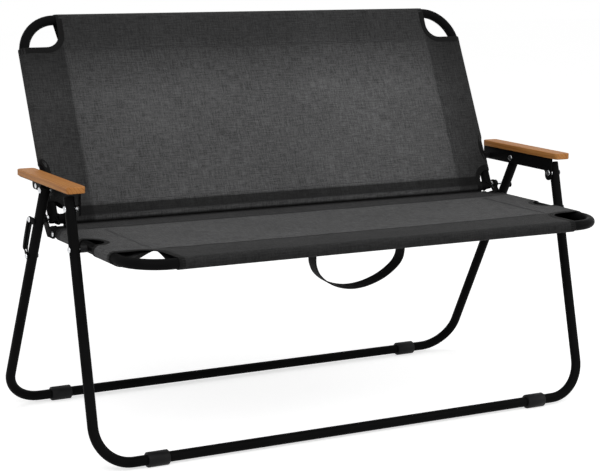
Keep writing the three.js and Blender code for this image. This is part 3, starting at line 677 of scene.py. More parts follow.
def seat_bracket(rivet):
    slot_end = CORNER_PIN - Vector((0, BRACKET_SLOT_DROP))
    return carved([
        prism(capsule(rivet, SEAT_REAR, BRACKET_HALF), PLATE_IN, PLATE_OUT),
        prism(capsule(SEAT_REAR, CORNER_PIN, BRACKET_REAR_HALF), PLATE_IN, PLATE_OUT),
    ], [
        cutter(capsule(CORNER_PIN, slot_end, BRACKET_SLOT_HALF), PLATE_IN, PLATE_OUT),
    ])


def build_fittings():
    def pin(name, place, *sizes):
        make_pair(name, *lathe(headed(*sizes), place), "zinc")

    def spacer(name, place, *sizes):
        make_pair(name, *lathe(bush(*sizes), place), "plastic")

    rear_in, front_in, front_out = REAR_HALF - TUBE_R, FRONT_HALF - TUBE_R, FRONT_HALF + TUBE_R
    seat_in, seat_out = SEAT_HALF - TUBE_R, SEAT_HALF + TUBE_R
    back_in, back_out = BACK_HALF - TUBE_R, BACK_HALF + TUBE_R
    tall, small_tall = (PIN_HEAD, PIN_HEAD_R), (PIN_HEAD, RIVET_HEAD_R)
    low, small_low = (LOW_HEAD, PIN_HEAD_R), (LOW_HEAD, RIVET_HEAD_R)

    # Leg guides and seat brackets, each with its rivet
    route = guide_route()
    rivet = on_rear_leg(route[-1], GUIDE_RIVET_UNDER)
    make_pair("leg_guide", *guide_strip(route, rivet), "coated_steel")
    pin("guide_rivet", rivet, rear_in, GUIDE_OUT + FIT, RIVET_R, small_low, small_tall)
    rivet = SEAT_REAR + SEAT_DIR * SEAT_RIVET_SET
    make_pair("seat_bracket", *seat_bracket(rivet), "coated_steel")
    pin("seat_bracket_rivet", rivet, seat_in, PLATE_OUT + FIT, RIVET_R, small_low, small_low)

    # Corner pins, armrest pivots and seat pivots, with their shoulders and bushes
    pin("corner_pin", CORNER_PIN, back_in - GAP, GUIDE_OUT + 2 * FIT, PIN_R, (LOW_HEAD, CORNER_HEAD_R), tall,
        (back_out + GAP, PLATE_IN - GAP))
    spacer("corner_bush", CORNER_PIN, BUSH_R, PLATE_OUT + GAP, rear_in - 2 * GAP)
    pin("arm_back_pivot", ARM_PIVOT, back_in, WEB_OUT + FIT, PIN_R, low, (FLAT_HEAD, RIVET_HEAD_R))
    spacer("back_pivot_bush", ARM_PIVOT, SMALL_BUSH_R, back_out + GAP, WEB_IN - GAP)
    for name, half, place in (
        ("rear_leg_pivot", REAR_HALF, REAR_PIVOT),
        ("front_leg_pivot", FRONT_HALF, FRONT_PIVOT),
    ):
        shoulder = WEB_OUT + FIT, half - TUBE_R - FIT
        pin(name, place, WEB_IN - FIT, half + TUBE_R + FIT, PIN_R, low, tall, shoulder)
    pin("seat_pivot", SEAT_PIVOT, seat_in, front_out, PIN_R, tall, tall)
    spacer("seat_pivot_bush", SEAT_PIVOT, SMALL_BUSH_R, seat_out + GAP, front_in - GAP)


# Armrests
BOARD_FRONT, BOARD_REAR = 84.0, 355.0
BOARD_X0, BOARD_X1 = 530.0, 566.4
BOARD_THICK, BOARD_CORNER, BOARD_EDGE = 12.5, 8.0, 1.6
EAR_R, EAR_DROP, EAR_FILLET = 11.0, 4.5, 5.0
EAR_FILLET_SET = 16.0
RAIL_UNDER, RAIL_REAR_R, RAIL_REAR_INSET = 7.1, 9.0, 2.0
FLANGE_WIDTH, FLANGE_SET, FLANGE_CORNER = 29.0, 8.0, 3.0
SCREW_R, SCREW_HEAD_R, SCREW_BITE = 1.8, 3.6, 5.0
FRONT_SCREW_SET, REAR_SCREW_SET = 52.0, 26.0


def rounded_box(x0, x1, y0, y1, corner, n=8):
    """A plan with round corners, anticlockwise from above."""
    shape = []
    for cx, cy, a in ((x1 - corner, y0 + corner, -90), (x1 - corner, y1 - corner, 0),
                      (x0 + corner, y1 - corner, 90), (x0 + corner, y0 + corner, 180)):
        shape += arc(Vector((cx, cy)), corner, math.radians(a), math.radians(a + 90), n)
    return shape


def board():
    rounding = [math.radians(d) for d in (90, 70, 50, 30, 12, 0)]
    levels = [(0.0, BOARD_EDGE + 4.0)]
    levels += [(BOARD_EDGE * (1 - math.sin(t)), BOARD_EDGE * (1 - math.cos(t))) for t in rounding]
    levels += [(BOARD_THICK - z, inset) for z, inset in reversed(levels)]
    rings = []
    for z, inset in levels:
        plan = rounded_box(BOARD_X0 + inset, BOARD_X1 - inset, BOARD_FRONT + inset, BOARD_REAR - inset,
                           max(BOARD_CORNER - inset * 0.6, 1.2))
        rings.append([Vector((x, y + SHIFT, BOARD_UNDER + z)) for x, y in plan])
    return loft(rings)


def arm_rail(front, rear):
    """A pressed angle: a web with an ear for the front leg's pivot, and a flange under the board."""
    low = ARM_PIVOT.y - RAIL_UNDER
    ear = FRONT_PIVOT - Vector((0, EAR_DROP))
    web = arc(ear, EAR_R, math.pi, 2 * math.pi, 24)
    hollow = Vector((FRONT_PIVOT.x + EAR_FILLET_SET, low - EAR_FILLET))
    web += arc(hollow, EAR_FILLET, math.pi, math.pi / 2, 8)
    web += arc(Vector((rear - RAIL_REAR_R, low + RAIL_REAR_R)), RAIL_REAR_R, -math.pi / 2, 0, 12)
    web += [Vector((rear, ARM_TOP)), Vector((front, ARM_TOP))]
    plan = rounded_box(WEB_IN, WEB_IN + FLANGE_WIDTH, front + FLANGE_SET, rear, FLANGE_CORNER, 6)
    flange = loft([[Vector((x, y + SHIFT, z)) for x, y in plan] for z in (ARM_UNDER, ARM_TOP)])
    return carved([prism(web, WEB_IN, WEB_OUT), flange], [])


def arm_screw(y):
    """A pan head screw from below with a cross recess."""
    x = WEB_IN + FLANGE_WIDTH / 2
    top = ARM_UNDER - FIT / 2
    arm, thin = 1.7, 0.4

    def block(dx, dy):
        shape = [(-dx, -dy), (-dx, dy), (dx, dy), (dx, -dy)]
        return loft([[Vector((x + a, y + SHIFT + b, z)) for a, b in shape] for z in (top - 1.7, top - 0.8)])

    profile = [(top + SCREW_BITE, SCREW_R), (top, SCREW_R), (top, SCREW_HEAD_R - 0.1),
               (top - 0.4, SCREW_HEAD_R), (top - 0.95, 3.1), (top - 1.35, 2.1), (top - 1.5, 0.1)]
    head = loft([circle(Vector((x, y + SHIFT, z)), ACROSS, -AFT, r, 28) for z, r in profile])
    return carved([head], [block(arm, thin), block(thin, arm)], bevel=0)


def build_arms():
    front, rear = FRONT_PIVOT.x - EAR_R, BOARD_REAR - RAIL_REAR_INSET
    make_pair("arm_rail", *arm_rail(front, rear), "coated_steel")
    make_pair("armrest", *board(), "wood")
    make_pair("arm_screw_front", *arm_screw(front + FRONT_SCREW_SET), "zinc")
    make_pair("arm_screw_rear", *arm_screw(rear - REAR_SCREW_SET), "zinc")


# Slings: hems are measured from a tube's axis to the seam, at the straight end and at the bent end
SEAT_HEMS, BACK_HEMS = (59.0, 97.0), (21.0, 71.0)
# Cut-outs at the bent corners: width, depth and corner radius
SEAT_CUT, BACK_CUT = (82.0, 88.0, 40.0), (75.0, 62.0, 30.0)
# Notches in the side hems: reach before the pivot and after it, and inward of the tube's axis
SEAT_NOTCH, BACK_NOTCH = (35.0, 29.0, 25.0), (10.0, 43.0, -2.0)
# Stitching: where the side rows start, and where the straight end's rows run
SEAT_ROWS, BACK_ROWS = (73.0, 59.0), (60.0, 28.0)
WIDE_TAPE, NARROW_TAPE = 11.5, 9.5
PANEL_THICK = 1.1
CLEAR_OF_EDGE = 1.3


class Sling:
    """A sling in its own plane: x across, y from the straight end to the bent end, z to the sitter.

    Its flat pattern has u across and v along. Past a tube's axis the cloth wraps round the tube and comes
    back under the panel to the hem's seam.
    """

    # The side hems, the cloth past a seam, the holes at the straight end's corners, and where cloth eases
    SIDE, SEAM = 80.0, 8.0
    HOLE_R, HOLE_SET, HOLE_LEAST = 24.0, 10.0, 16.0
    EASE = 30.0

    def __init__(self, name, half, length, place, hems, cut_out, pivot, notch, rows, flap_out, sag, ridge):
        self.name, self.half, self.length, self.place = name, half, length, place
        self.straight, self.bent = hems
        self.wide, self.deep, self.cut_r = cut_out
        before, after, self.depth = notch
        self.notch_mid, self.notch_b = pivot + (after - before) / 2, (before + after) / 2
        self.side_row, self.end_row = rows
        self.flap_out, self.sag, self.ridge = flap_out, sag, ridge

    def way_back(self, width, mid):
        """Where a hem's lower layer leaves the tube, as an angle, and its straight length up to the seam."""
        run, target = width - self.SEAM, SLEEVE_R - HALF_CLOTH
        end = 2 * math.pi + math.atan2(target, run) - math.acos(mid / math.hypot(run, target))
        return end, math.sqrt(run * run + target * target - mid * mid)

    def wrap(self, s, width, lift, mid=CLOTH_MID):
        """(inward distance, height) at arc length s past the tube's axis, lift above the cloth's face."""
        end, slope = self.way_back(width, mid)
        round_tube = mid * (end - math.pi / 2)
        if s <= round_tube:
            a = math.pi / 2 + s / mid
            slack = END_SLACK if mid > CLOTH_MID else 0.0
            r = mid + lift + slack * max(0.0, math.cos(0.9 * (a - math.pi))) ** 2
            return r * math.cos(a), r * math.sin(a)
        d = s - round_tube
        if d <= slope:
            r, cos, sin = mid + lift, math.cos(end), math.sin(end)
            return r * cos - d * sin, r * sin + d * cos
        return width - self.SEAM + (d - slope), SLEEVE_R - HALF_CLOTH - lift

    def arc_len(self, width, mid=CLOTH_MID):
        return mid * (self.way_back(width, mid)[0] - math.pi / 2)

    def flap(self, width, mid=CLOTH_MID):
        return self.arc_len(width, mid) + self.way_back(width, mid)[1] + self.SEAM

    def local(self, u, v, lift=0.0):
        """Flat pattern to the sling's own frame."""
        x, y, z = u, v, CLOTH_MID + lift
        over = abs(u) - self.half
        if over > 0:
            inward, z = self.wrap(over, self.SIDE, lift)
            x = math.copysign(self.half - inward, u)
        elif v < 0:
            y, z = self.wrap(-v, self.straight, lift, END_MID)
        elif v > self.length:
            inward, z = self.wrap(v - self.length, self.bent, lift)
            y = self.length - inward
        if over <= 0 and 0 <= v < self.EASE:
            z += (END_MID - CLOTH_MID) * (1 - v / self.EASE) ** 2
        return x, y, z

    def relief(self, x, y):
        """How far the stretched cloth stands back from its plane."""
        across = max(0.0, 1 - abs(x / self.half) ** 2.5)
        along = max(0.0, math.sin(math.pi * min(max(y / self.length, 0), 1)))
        low = self.sag * (across * along) ** 0.8
        inside = min(1.0, max(0.0, min(self.half - abs(x), y, self.length - y) / self.EASE))
        ripple = noise.noise(Vector((x * 0.012, y * 0.02, 3.1 + self.ridge)))
        ripple += 0.5 * noise.noise(Vector((x * 0.03, y * 0.045, 7.7)))
        corner = math.hypot(self.half - self.wide - abs(x), self.length - self.deep - y)
        pull = math.sin((abs(x) * 0.5 + y * 0.9) * 0.16) * math.exp(-corner / 70.0)
        return low + inside * (0.55 * ripple + 0.5 * pull)

    def bench_point(self, u, v, lift=0.0):
        x, y, z = self.local(u, v, lift)
        z -= self.relief(x, y)
        return self.place(x, y, z)

    def side_low(self, s):
        """Where the side flap starts, along the tube, at s past the axis."""
        inward = self.wrap(s, self.SIDE, 0.0)[0]
        clear_of_seam, eased_over = 1.5, 20.0
        ring_end, floor = self.HOLE_SET + self.HOLE_R, self.straight + clear_of_seam
        if inward <= 0:
            return ring_end
        if floor > ring_end:
            return ring_end + (floor - ring_end) * min(1.0, inward / eased_over)
        return max(self.HOLE_SET + math.sqrt(max(self.HOLE_R ** 2 - inward ** 2, 0.0)), floor)

    def end_half(self, s):
        """Half width of the straight end's flap at s past the axis."""
        inward = self.wrap(s, self.straight, 0.0, END_MID)[0]
        near = math.sqrt(max(self.HOLE_R ** 2 - (max(inward, 0.0) - self.HOLE_SET) ** 2, 0.0))
        return self.half - max(self.HOLE_LEAST, near)

    def flap_front(self, s):
        """How far forward of the panel's cut-out the side hem's lower layer reaches, at s past the axis."""
        loop, start = self.arc_len(self.SIDE), 0.6
        if s > loop:
            return self.flap_out * (1 - (s - loop) / (self.flap(self.SIDE) - loop))
        return self.flap_out * max(0.0, s / loop - start) / (1 - start)

    def outline(self):
        """The flat pattern's edge, anticlockwise, and its two notch holes."""
        flap = self.flap(self.SIDE)
        straight_flap, bent_flap = self.flap(self.straight, END_MID), self.flap(self.bent)
        steps, round_hole, round_cut, run = 26, 14, 12, 20
        right = []
        for k in range(steps + 1):
            s = straight_flap * (1 - k / steps)
            right.append((self.end_half(s), -s))
        a0 = math.asin(self.HOLE_SET / self.HOLE_R)
        for k in range(1, round_hole + 1):
            a = math.pi + a0 - (math.pi / 2 + a0) * k / round_hole
            right.append((self.half + self.HOLE_R * math.cos(a), self.HOLE_SET + self.HOLE_R * math.sin(a)))
        for k in range(1, steps + 1):
            s = flap * k / steps
            right.append((self.half + s, self.side_low(s)))
        top = self.length - self.deep
        for k in range(run + 1):
            s = flap * (1 - k / run)
            right.append((self.half + s, top + self.flap_front(s)))
        cx, cy = self.half - self.wide + self.cut_r, top + self.cut_r
        for k in range(round_cut + 1):
            a = -math.pi / 2 - math.pi / 2 * k / round_cut
            right.append((cx + self.cut_r * math.cos(a), cy + self.cut_r * math.sin(a)))
        for k in range(1, run + 1):
            right.append((self.half - self.wide, cy + (self.length + bent_flap - cy) * k / run))
        hole = self.notch()
        left, other_hole = ([(-u, v) for u, v in reversed(loop)] for loop in (right, hole))
        return right + left, [hole, other_hole]

    def notch(self):
        """The hole in the side hem where a pivot passes, as an ellipse seen square to the panel."""
        a = self.depth + HEM_R
        if a < HEM_R:
            return self.outer_notch(a)
        loop = []
        n = 22
        edge = math.acos(HEM_R / a)
        for k in range(n + 1):
            t = edge - 2 * edge * k / n
            loop.append((self.half + HEM_R - a * math.cos(t), self.notch_mid + self.notch_b * math.sin(t)))
        past_loop, least = 25.0, 1.5
        span = self.arc_len(self.SIDE) + past_loop
        lower, upper = [], []
        steps = 26
        for k in range(1, steps + 1):
            s = span * k / steps
            share = (self.wrap(s, self.SIDE, 0.0)[0] + HEM_R) / a
            if share >= 1:
                break
            dv = self.notch_b * math.sqrt(max(1 - share * share, 0.0))
            if dv < least:
                break
            lower.append((self.half + s, self.notch_mid - dv))
            upper.append((self.half + s, self.notch_mid + dv))
        return loop + lower + upper[::-1]

    def outer_notch(self, a, n=12):
        """A hole that lies only on the outer half of the sleeve."""
        half_turn = math.pi * CLOTH_MID
        widest = math.acos((HEM_R - CLOTH_MID) / a)
        near = []
        for k in range(n + 1):
            t = widest * k / n
            inward = HEM_R - a * math.cos(t)
            near.append((CLOTH_MID * math.asin(min(1.0, inward / CLOTH_MID)), self.notch_b * math.sin(t)))
        side = near + [(half_turn - s, d) for s, d in reversed(near[:-1])]
        lower = [(self.half + s, self.notch_mid - d) for s, d in side]
        upper = [(self.half + s, self.notch_mid + d) for s, d in reversed(side[1:-1])]
        return lower + upper

    @staticmethod
    def even_loop(loop, least=0.4, most=8.0):
        """The loop without near doubles and without long steps, so that its trim follows the sag."""
        kept = []
        for p in loop:
            if not kept or math.dist(p, kept[-1]) > least:
                kept.append(p)
        if math.dist(kept[0], kept[-1]) < least:
            kept.pop()
        even = []
        for a, b in zip(kept, kept[1:] + kept[:1]):
            n = math.ceil(math.dist(a, b) / most)
            even += [(a[0] + (b[0] - a[0]) * k / n, a[1] + (b[1] - a[1]) * k / n) for k in range(n)]
        return even

    @staticmethod
    def inside(points, loop):
        x, y = points.T
        odd = np.zeros(len(points), bool)
        for (x1, y1), (x0, y0) in zip(loop[-1:] + loop[:-1], loop):
            if y0 != y1:
                odd ^= ((y0 > y) != (y1 > y)) & (x < (x1 - x0) * (y - y0) / (y1 - y0) + x0)
        return odd

    @staticmethod
    def near(points, loop, reach):
        close = np.zeros(len(points), bool)
        for a, b in zip(np.array(loop[-1:] + loop[:-1]), np.array(loop)):
            ab = b - a
            t = np.clip(((points - a) @ ab) / max(ab @ ab, 1e-9), 0, 1)
            close |= np.hypot(*(points - a - t[:, None] * ab).T) < reach
        return close

    @staticmethod
    def grid_lines(stops, step=8.0, fine=2.3):
        """Lines over the stretches between stops, and closer ones in every second stretch, round a tube."""
        lines = []
        for i, (a, b) in enumerate(zip(stops, stops[1:])):
            n = max(1, round((b - a) / (fine if i % 2 else step)))
            lines += [a + (b - a) * k / n for k in range(n)]
        return lines + [stops[-1]]

    def build(self, material):
        edge, holes = self.outline()
        self.edge, self.holes = self.even_loop(edge), [self.even_loop(hole) for hole in holes]
        loops = [self.edge] + self.holes

        def within(points):
            keep = self.inside(points, self.edge)
            for hole in self.holes:
                keep &= ~self.inside(points, hole)
            return keep

        half, length, ends = self.half, self.length, ((self.straight, END_MID), (self.bent, CLOTH_MID))
        side, side_turn = self.flap(self.SIDE), self.arc_len(self.SIDE)
        (low, low_turn), (high, high_turn) = ((self.flap(*end), self.arc_len(*end)) for end in ends)
        us = self.grid_lines([-half - side, -half - side_turn, -half, half, half + side_turn, half + side])
        vs = self.grid_lines([-low, -low_turn, 0.0, length, length + high_turn, length + high])
        grid = np.array([(u, v) for u in us for v in vs])
        grid = grid[within(grid)]
        for loop in loops:
            grid = grid[~self.near(grid, loop, CLEAR_OF_EDGE)]
        points = [Vector(p) for p in grid]
        edges = []
        for loop in loops:
            base = len(points)
            points += [Vector(p) for p in loop]
            edges += [(base + i, base + (i + 1) % len(loop)) for i in range(len(loop))]
        verts, _, faces, *_ = delaunay_2d_cdt(points, edges, [], 0, 1e-5)
        flat = np.array([tuple(v) for v in verts])
        tris = np.array([f for f in faces if len(f) == 3])
        used, tris = np.unique(tris[within(flat[tris].mean(axis=1))], return_inverse=True)
        flat, tris = flat[used], tris.reshape(-1, 3)
        a, b, c = (flat[tris[:, i]] for i in range(3))
        self.area = float(np.abs(np.cross(b - a, c - a)).sum()) / 2 * MM * MM
        self.cut = (2 * (half + side) * MM, (length + low + high) * MM)
        node_name = f"{self.name}_fabric"
        cloth = make(f"{node_name}_cloth", [self.bench_point(u, v) for u, v in flat], tris.tolist(), material,
                     self.name, "fabric", [node_name], smooth=80, uv=flat.tolist())
        thick = cloth.modifiers.new("thickness", "SOLIDIFY")
        thick.thickness = PANEL_THICK * MM
        thick.offset = 0.0
        return cloth

    def tape(self, loop, width):
        """A binding folded over the cloth's edge. Its inward side is on the left of the loop's run."""
        stand = 0.75
        profile = [(width, 0.5), (width - 0.5, stand), (1.0, stand), (-0.7, 0.6), (-1.1, 0.0), (-0.7, -0.6),
                   (1.0, -stand), (width - 0.5, -stand), (width, -0.5)]
        points = [np.array(p) for p in loop]
        rings, uvs = [], []
        run = 0.0
        for i, point in enumerate(points):
            way = points[(i + 1) % len(points)] - points[i - 1]
            way = way / max(np.hypot(*way), 1e-6)
            inward = np.array((-way[1], way[0]))
            if i:
                run += float(np.hypot(*(point - points[i - 1])))
            rings.append([self.bench_point(*(point + inward * d), lift) for d, lift in profile])
            uvs += [(k * 3.0, run) for k in range(len(profile))]
        return *loft(rings, closed=True), uvs

    def binding(self, material):
        """One tape round the pattern's edge and one round each notch hole."""
        loops = [(self.edge, WIDE_TAPE)] + [(hole[::-1], NARROW_TAPE) for hole in self.holes]
        taped = [self.tape(*loop) for loop in loops]
        verts, faces = merge([(v, f) for v, f, _ in taped])
        uvs = [uv for *_, part in taped for uv in part]
        return make(f"{self.name}_binding", verts, faces, material, self.name, "fabric", uv=uvs)

    def stitch_row(self, start, end):
        """Separate stitches of thread along a line of the flat pattern."""
        step, length, lift, thread_r = 4.2, 3.0, 0.62, 0.33
        under, low, high = lift - 0.1, lift + 0.05, lift + thread_r
        start, end = np.array(start), np.array(end)
        gap = float(np.hypot(*(end - start)))
        way = (end - start) / gap
        side = np.array((-way[1], way[0])) * thread_r
        parts = []
        for k in range(int(gap // step)):
            rings = []
            for d, top in ((0.0, low), (0.5, high), (length - 0.5, high), (length, low)):
                p = start + way * (k * step + d)
                corners = ((-1.0, under), (1.0, under), (0.6, top), (-0.6, top))
                rings.append([self.bench_point(*(p + side * share), z) for share, z in corners])
            parts.append(loft(rings))
        return merge(parts)

    def stitches(self, material):
        """Two rows along each hem's seam."""
        side, top = self.half - self.SIDE, self.length - self.deep - 12.0
        rows = [self.stitch_row((x, self.side_row), (x, top))
                for set_in in (2.0, 6.0) for x in (side + set_in, -side - set_in)]
        for seam, half, way in (
            (self.end_row, self.half - 45.0, -1),
            (self.length - self.bent, self.half - self.wide - 14.0, 1),
        ):
            for y in (seam + way * 2.5, seam + way * 6.5):
                rows.append(self.stitch_row((-half, y), (half, y)))
        verts, faces = merge(rows)
        return make(f"{self.name}_stitches", verts, faces, material, self.name, "fabric",
                    uv=[p[:2] for p in verts])


def seat_place(x, y, z):
    return (-x, SEAT_REAR_Y - y + SHIFT, SEAT_Z + z)


def back_place(x, y, z):
    tilt = math.radians(90 - BACK_LEAN)
    return (x, BACK_FOOT.x + y * math.cos(tilt) - z * math.sin(tilt) + SHIFT,
            BACK_FOOT.y + y * math.sin(tilt) + z * math.cos(tilt))


# Tone of the cloth, in mm of the pattern: double cloth in a hem is darker. The rest is painted shade and
# painted light:
# a painted shadow over the seat's rear sleeve and along its rear edge, and over the lower side of the back's
# bottom sleeve, where the two meet; painted shade round the seat's front tube and under the cloth; the back's
# bottom and side hems darker than double cloth alone, the sides most towards the outside; the back darker
# towards its top; and the back's panel painted lighter from its left side to its right.
# Seat: side and end hems darker as double cloth, painted shadow at the rear sleeve, painted shade round and
# under the front tube
SEAT_HEM_TONES_AND_PAINTED_SHADE = {
    "X": [(-700, 1.0), (-560, 1.0), (-516, 0.8), (-436, 0.9), (-420, 1.0), (420, 1.0), (436, 0.95),
          (516, 0.85), (560, 1.0), (700, 1.0)],
    "Y": [(-130, 0.03), (5, 0.03), (9, 0.36), (57, 0.4), (61, 1.0), (288, 1.0), (292, 0.46),
          (384, 0.36), (410, 0.2), (600, 0.2)],
}
# Back: hems darker as double cloth and painted shade, painted shadow under the bottom sleeve, painted light
# towards the right
BACK_HEM_TONES_AND_PAINTED_SHADING = {
    "X": [(-700, 0.38), (-520, 0.4), (-433, 0.38), (-428, 0.75), (-250, 0.9), (40, 0.92), (140, 1.04),
          (300, 1.06), (428, 0.86), (433, 0.5), (470, 0.37), (520, 0.3), (700, 0.3)],
    "Y": [(-130, 0.03), (-11, 0.03), (-8.5, 0.85), (-5, 0.75), (-2, 0.6), (1, 0.2), (19, 0.22),
          (21, 0.95), (245, 1.0), (320, 0.64), (360, 0.4), (412, 0.36), (600, 0.32)],
}
CLOTH_DARK, CLOTH_LIGHT = (0.036, 0.036, 0.0365), (0.118, 0.118, 0.119)
# Painted light: seat and back are one cloth, and the back's copy is painted brighter than the seat's
SEAT_PAINTED_LIGHT_GAIN, BACK_PAINTED_LIGHT_GAIN = 1.03, 1.2


def build_slings():
    tape = woven("binding_tape", (0.002, 0.002, 0.002, 1), (0.006, 0.006, 0.006, 1), {}, 1.0, 0.75)
    thread = woven("sewing_thread", (0.012, 0.012, 0.013, 1), (0.03, 0.03, 0.031, 1), {}, 0.6, 0.7)
    seat = Sling("seat", SEAT_HALF, SEAT_DEPTH, seat_place, SEAT_HEMS, SEAT_CUT, SEAT_REAR_Y - SEAT_PIVOT.x,
                 SEAT_NOTCH, SEAT_ROWS, flap_out=27.0, sag=4.0, ridge=0.0)
    back = Sling("back", BACK_HALF, BACK_LENGTH, back_place, BACK_HEMS, BACK_CUT,
                 (ARM_PIVOT - BACK_FOOT).length, BACK_NOTCH, BACK_ROWS, flap_out=1.0, sag=3.0, ridge=5.0)
    for sling, hem_tones_and_painted_shading, painted_light_gain in ((seat, SEAT_HEM_TONES_AND_PAINTED_SHADE, SEAT_PAINTED_LIGHT_GAIN), (back, BACK_HEM_TONES_AND_PAINTED_SHADING, BACK_PAINTED_LIGHT_GAIN)):
        dark, light = ((*(c * painted_light_gain for c in tone), 1) for tone in (CLOTH_DARK, CLOTH_LIGHT))
        cloth = sling.build(woven(f"{sling.name}_weave", dark, light, hem_tones_and_painted_shading, 1.25, 0.86))
        trim = [sling.binding(tape), sling.stitches(thread)]
    return seat


# Carry strap: shares of its half span and of its drop, along the loop that hangs from the front hem
STRAP_ROUTE = [(-0.98, 0), (-0.995, 0.36), (-0.98, 0.52), (-0.9, 0.69), (-0.73, 0.84), (-0.52, 0.94),
               (-0.28, 0.99), (-0.05, 0.985), (0.17, 0.94), (0.41, 0.85), (0.62, 0.72), (0.77, 0.57),
               (0.83, 0.38), (0.83, 0)]
STRAP_HALF_SPAN, STRAP_DROP = 108.0, 104.0
STRAP_WIDTH, STRAP_THICK = 30.0, 2.4
STRAP_SINK = 1.9


def smooth_path(points, steps=10):
    """A curve through all the points, with the tangent at each set by its neighbours."""
    path = []
    last = len(points) - 1
    for i in range(last):
        p0, p1, p2, p3 = points[max(i - 1, 0)], points[i], points[i + 1], points[min(i + 2, last)]
        for k in range(steps):
            t = k / steps
            path.append(((p1 * 2) + (p2 - p0) * t + (p0 * 2 - p1 * 5 + p2 * 4 - p3) * t * t
                         + (p1 * 3 - p0 - p2 * 3 + p3) * t ** 3) * 0.5)
    return path + [points[-1]]


def build_strap(seat):
    seam = seat.length - seat.bent
    w, h, eased = STRAP_WIDTH / 2, STRAP_THICK / 2, 0.7
    tops = [a * STRAP_HALF_SPAN for a, drop in STRAP_ROUTE if not drop]
    deepest = max(seat.relief(x, seam + v) for x in tops for v in (-w, 0, w))
    top_z = SEAT_Z + SLEEVE_R - STRAP_SINK - deepest
    path = smooth_path([Vector((a * STRAP_HALF_SPAN, SEAT_REAR_Y - seam + SHIFT, top_z - drop * STRAP_DROP))
                        for a, drop in STRAP_ROUTE])
    under = [(-w, -h * 0.3), (-w + eased, -h), (-w + 3, -h), (0, -h),
             (w - 3, -h), (w - eased, -h), (w, -h * 0.3)]
    profile = under + [(-a, -b) for a, b in under]
    rings, uvs = [], []
    run = 0.0
    last = len(path) - 1
    for i, p in enumerate(path):
        ahead = (path[min(i + 1, last)] - path[max(i - 1, 0)]).normalized()
        if i in (0, last):
            ahead = Vector((0, 0, 1 if i else -1))
        if i:
            run += (p - path[i - 1]).length
        face = ahead.cross(AFT).normalized()
        twist = 0.10 * math.sin(math.pi * i / last) * math.sin(2.2 * i / last + 0.4)
        wide_way = AFT * math.cos(twist) + face * math.sin(twist)
        flat_way = face * math.cos(twist) - AFT * math.sin(twist)
        rings.append([p + wide_way * a + flat_way * b for a, b in profile])
        uvs += [(a, run) for a, _ in profile]
    web = woven("webbing", (0.004, 0.004, 0.0042, 1), (0.014, 0.014, 0.0145, 1), {}, 2.2, 0.8)
    strap = make("carry_strap_webbing", *loft(rings), web, "seat", "webbing", ["carry_strap"], uv=uvs)


# Stage, light and camera, in metres
FLOOR_HALF, FLOOR_GLOW = 12.0, 0.6
WORLD_LIGHT, WORLD_SEEN = 0.45, 0.55
LIT = Vector((0, 0, 0.4))
LAMPS = (
    ("key", (-1.6, -2.6, 2.8), (2.2, 2.2), 50.0),
    ("fill", (2.6, -2.0, 1.9), (2.0, 2.0), 26.0),
    ("top", (0, 0.4, 3.4), (3.0, 2.2), 12.0),
)
CAMERA_AT = (-1.6646, -2.96095, 0.9872)
AZIMUTH, ELEVATION, ROLL = -29.035, 10.428, 0.601
FOCAL_PX, PHOTO_PX, SENSOR = 1696.6, 600, 36.0


def seen_share(tree):
    """One for a ray from the camera, through glass or off a gloss, and nothing for light on the bench."""
    rays = node(tree, "ShaderNodeLightPath").outputs
    seen = math_node(tree, "MAXIMUM", rays["Is Camera Ray"], rays["Is Transmission Ray"])
    return math_node(tree, "MAXIMUM", seen, rays["Is Glossy Ray"])


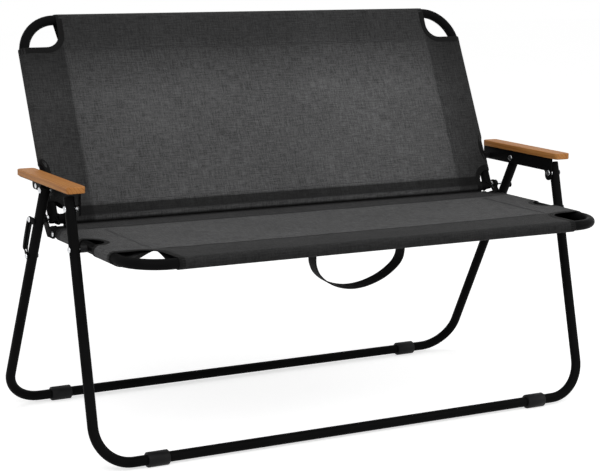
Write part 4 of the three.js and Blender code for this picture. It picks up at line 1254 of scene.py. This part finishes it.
def build_stage():
    mesh = bpy.data.meshes.new("floor")
    corners = [(x * FLOOR_HALF, y * FLOOR_HALF, 0) for x, y in ((-1, -1), (1, -1), (1, 1), (-1, 1))]
    mesh.from_pydata(corners, [], [(0, 1, 2, 3)])
    floor = bpy.data.objects.new("floor", mesh)
    scene.collection.objects.link(floor)
    made, tree, shader = new_material("floor_white")
    tone = ramp(tree, object_noise(tree, 2.0), [(0.0, grey(0.86)), (1.0, grey(0.88))])
    feed(tree, shader, {"Base Color": tone, "Roughness": 0.9, "Specular IOR Level": 0.0})
    glow = node(tree, "ShaderNodeEmission", {
        "Color": grey(1.0), "Strength": math_node(tree, "MULTIPLY", seen_share(tree), FLOOR_GLOW),
    })
    both = node(tree, "ShaderNodeAddShader", {0: shader.outputs[0], 1: glow.outputs[0]})
    out = next(n for n in tree.nodes if n.type == "OUTPUT_MATERIAL")
    feed(tree, out, {"Surface": both.outputs[0]})
    mesh.materials.append(made)

    world = bpy.data.worlds.new("studio")
    scene.world = world
    world.use_nodes = True
    tree = world.node_tree
    sky = next(n for n in tree.nodes if n.type == "BACKGROUND")
    level = math_node(tree, "MULTIPLY_ADD", seen_share(tree), WORLD_SEEN, WORLD_LIGHT)
    feed(tree, sky, {"Color": grey(1.0), "Strength": level})

    for name, at, size, power in LAMPS:
        data = bpy.data.lights.new(name, "AREA")
        data.shape = "RECTANGLE"
        data.size, data.size_y = size
        data.energy = power
        lamp = bpy.data.objects.new(name, data)
        lamp.location = at
        lamp.rotation_euler = (LIT - Vector(at)).to_track_quat("-Z", "Y").to_euler()
        scene.collection.objects.link(lamp)


def build_camera():
    azimuth, elevation, roll = (math.radians(v) for v in (AZIMUTH, ELEVATION, ROLL))
    back = Vector((math.sin(azimuth) * math.cos(elevation), -math.cos(azimuth) * math.cos(elevation),
                   math.sin(elevation)))
    right = UP.cross(back).normalized()
    up = back.cross(right)
    c, s = math.cos(roll), math.sin(roll)
    right, up = right * c + up * s, up * c - right * s
    data = bpy.data.cameras.new("camera")
    data.sensor_width = SENSOR
    data.sensor_fit = "HORIZONTAL"
    data.lens = FOCAL_PX / PHOTO_PX * SENSOR
    data.clip_end = 60.0
    made = bpy.data.objects.new("camera", data)
    turn = Matrix((right, up, back)).transposed().to_4x4()
    made.matrix_world = Matrix.Translation(CAMERA_AT) @ turn
    scene.collection.objects.link(made)
    scene.camera = made
    scene.view_settings.view_transform = "Standard"


build_camera()
build_frame()
build_fittings()
build_arms()
build_strap(build_slings())
build_stage()

bpy.context.view_layer.update()
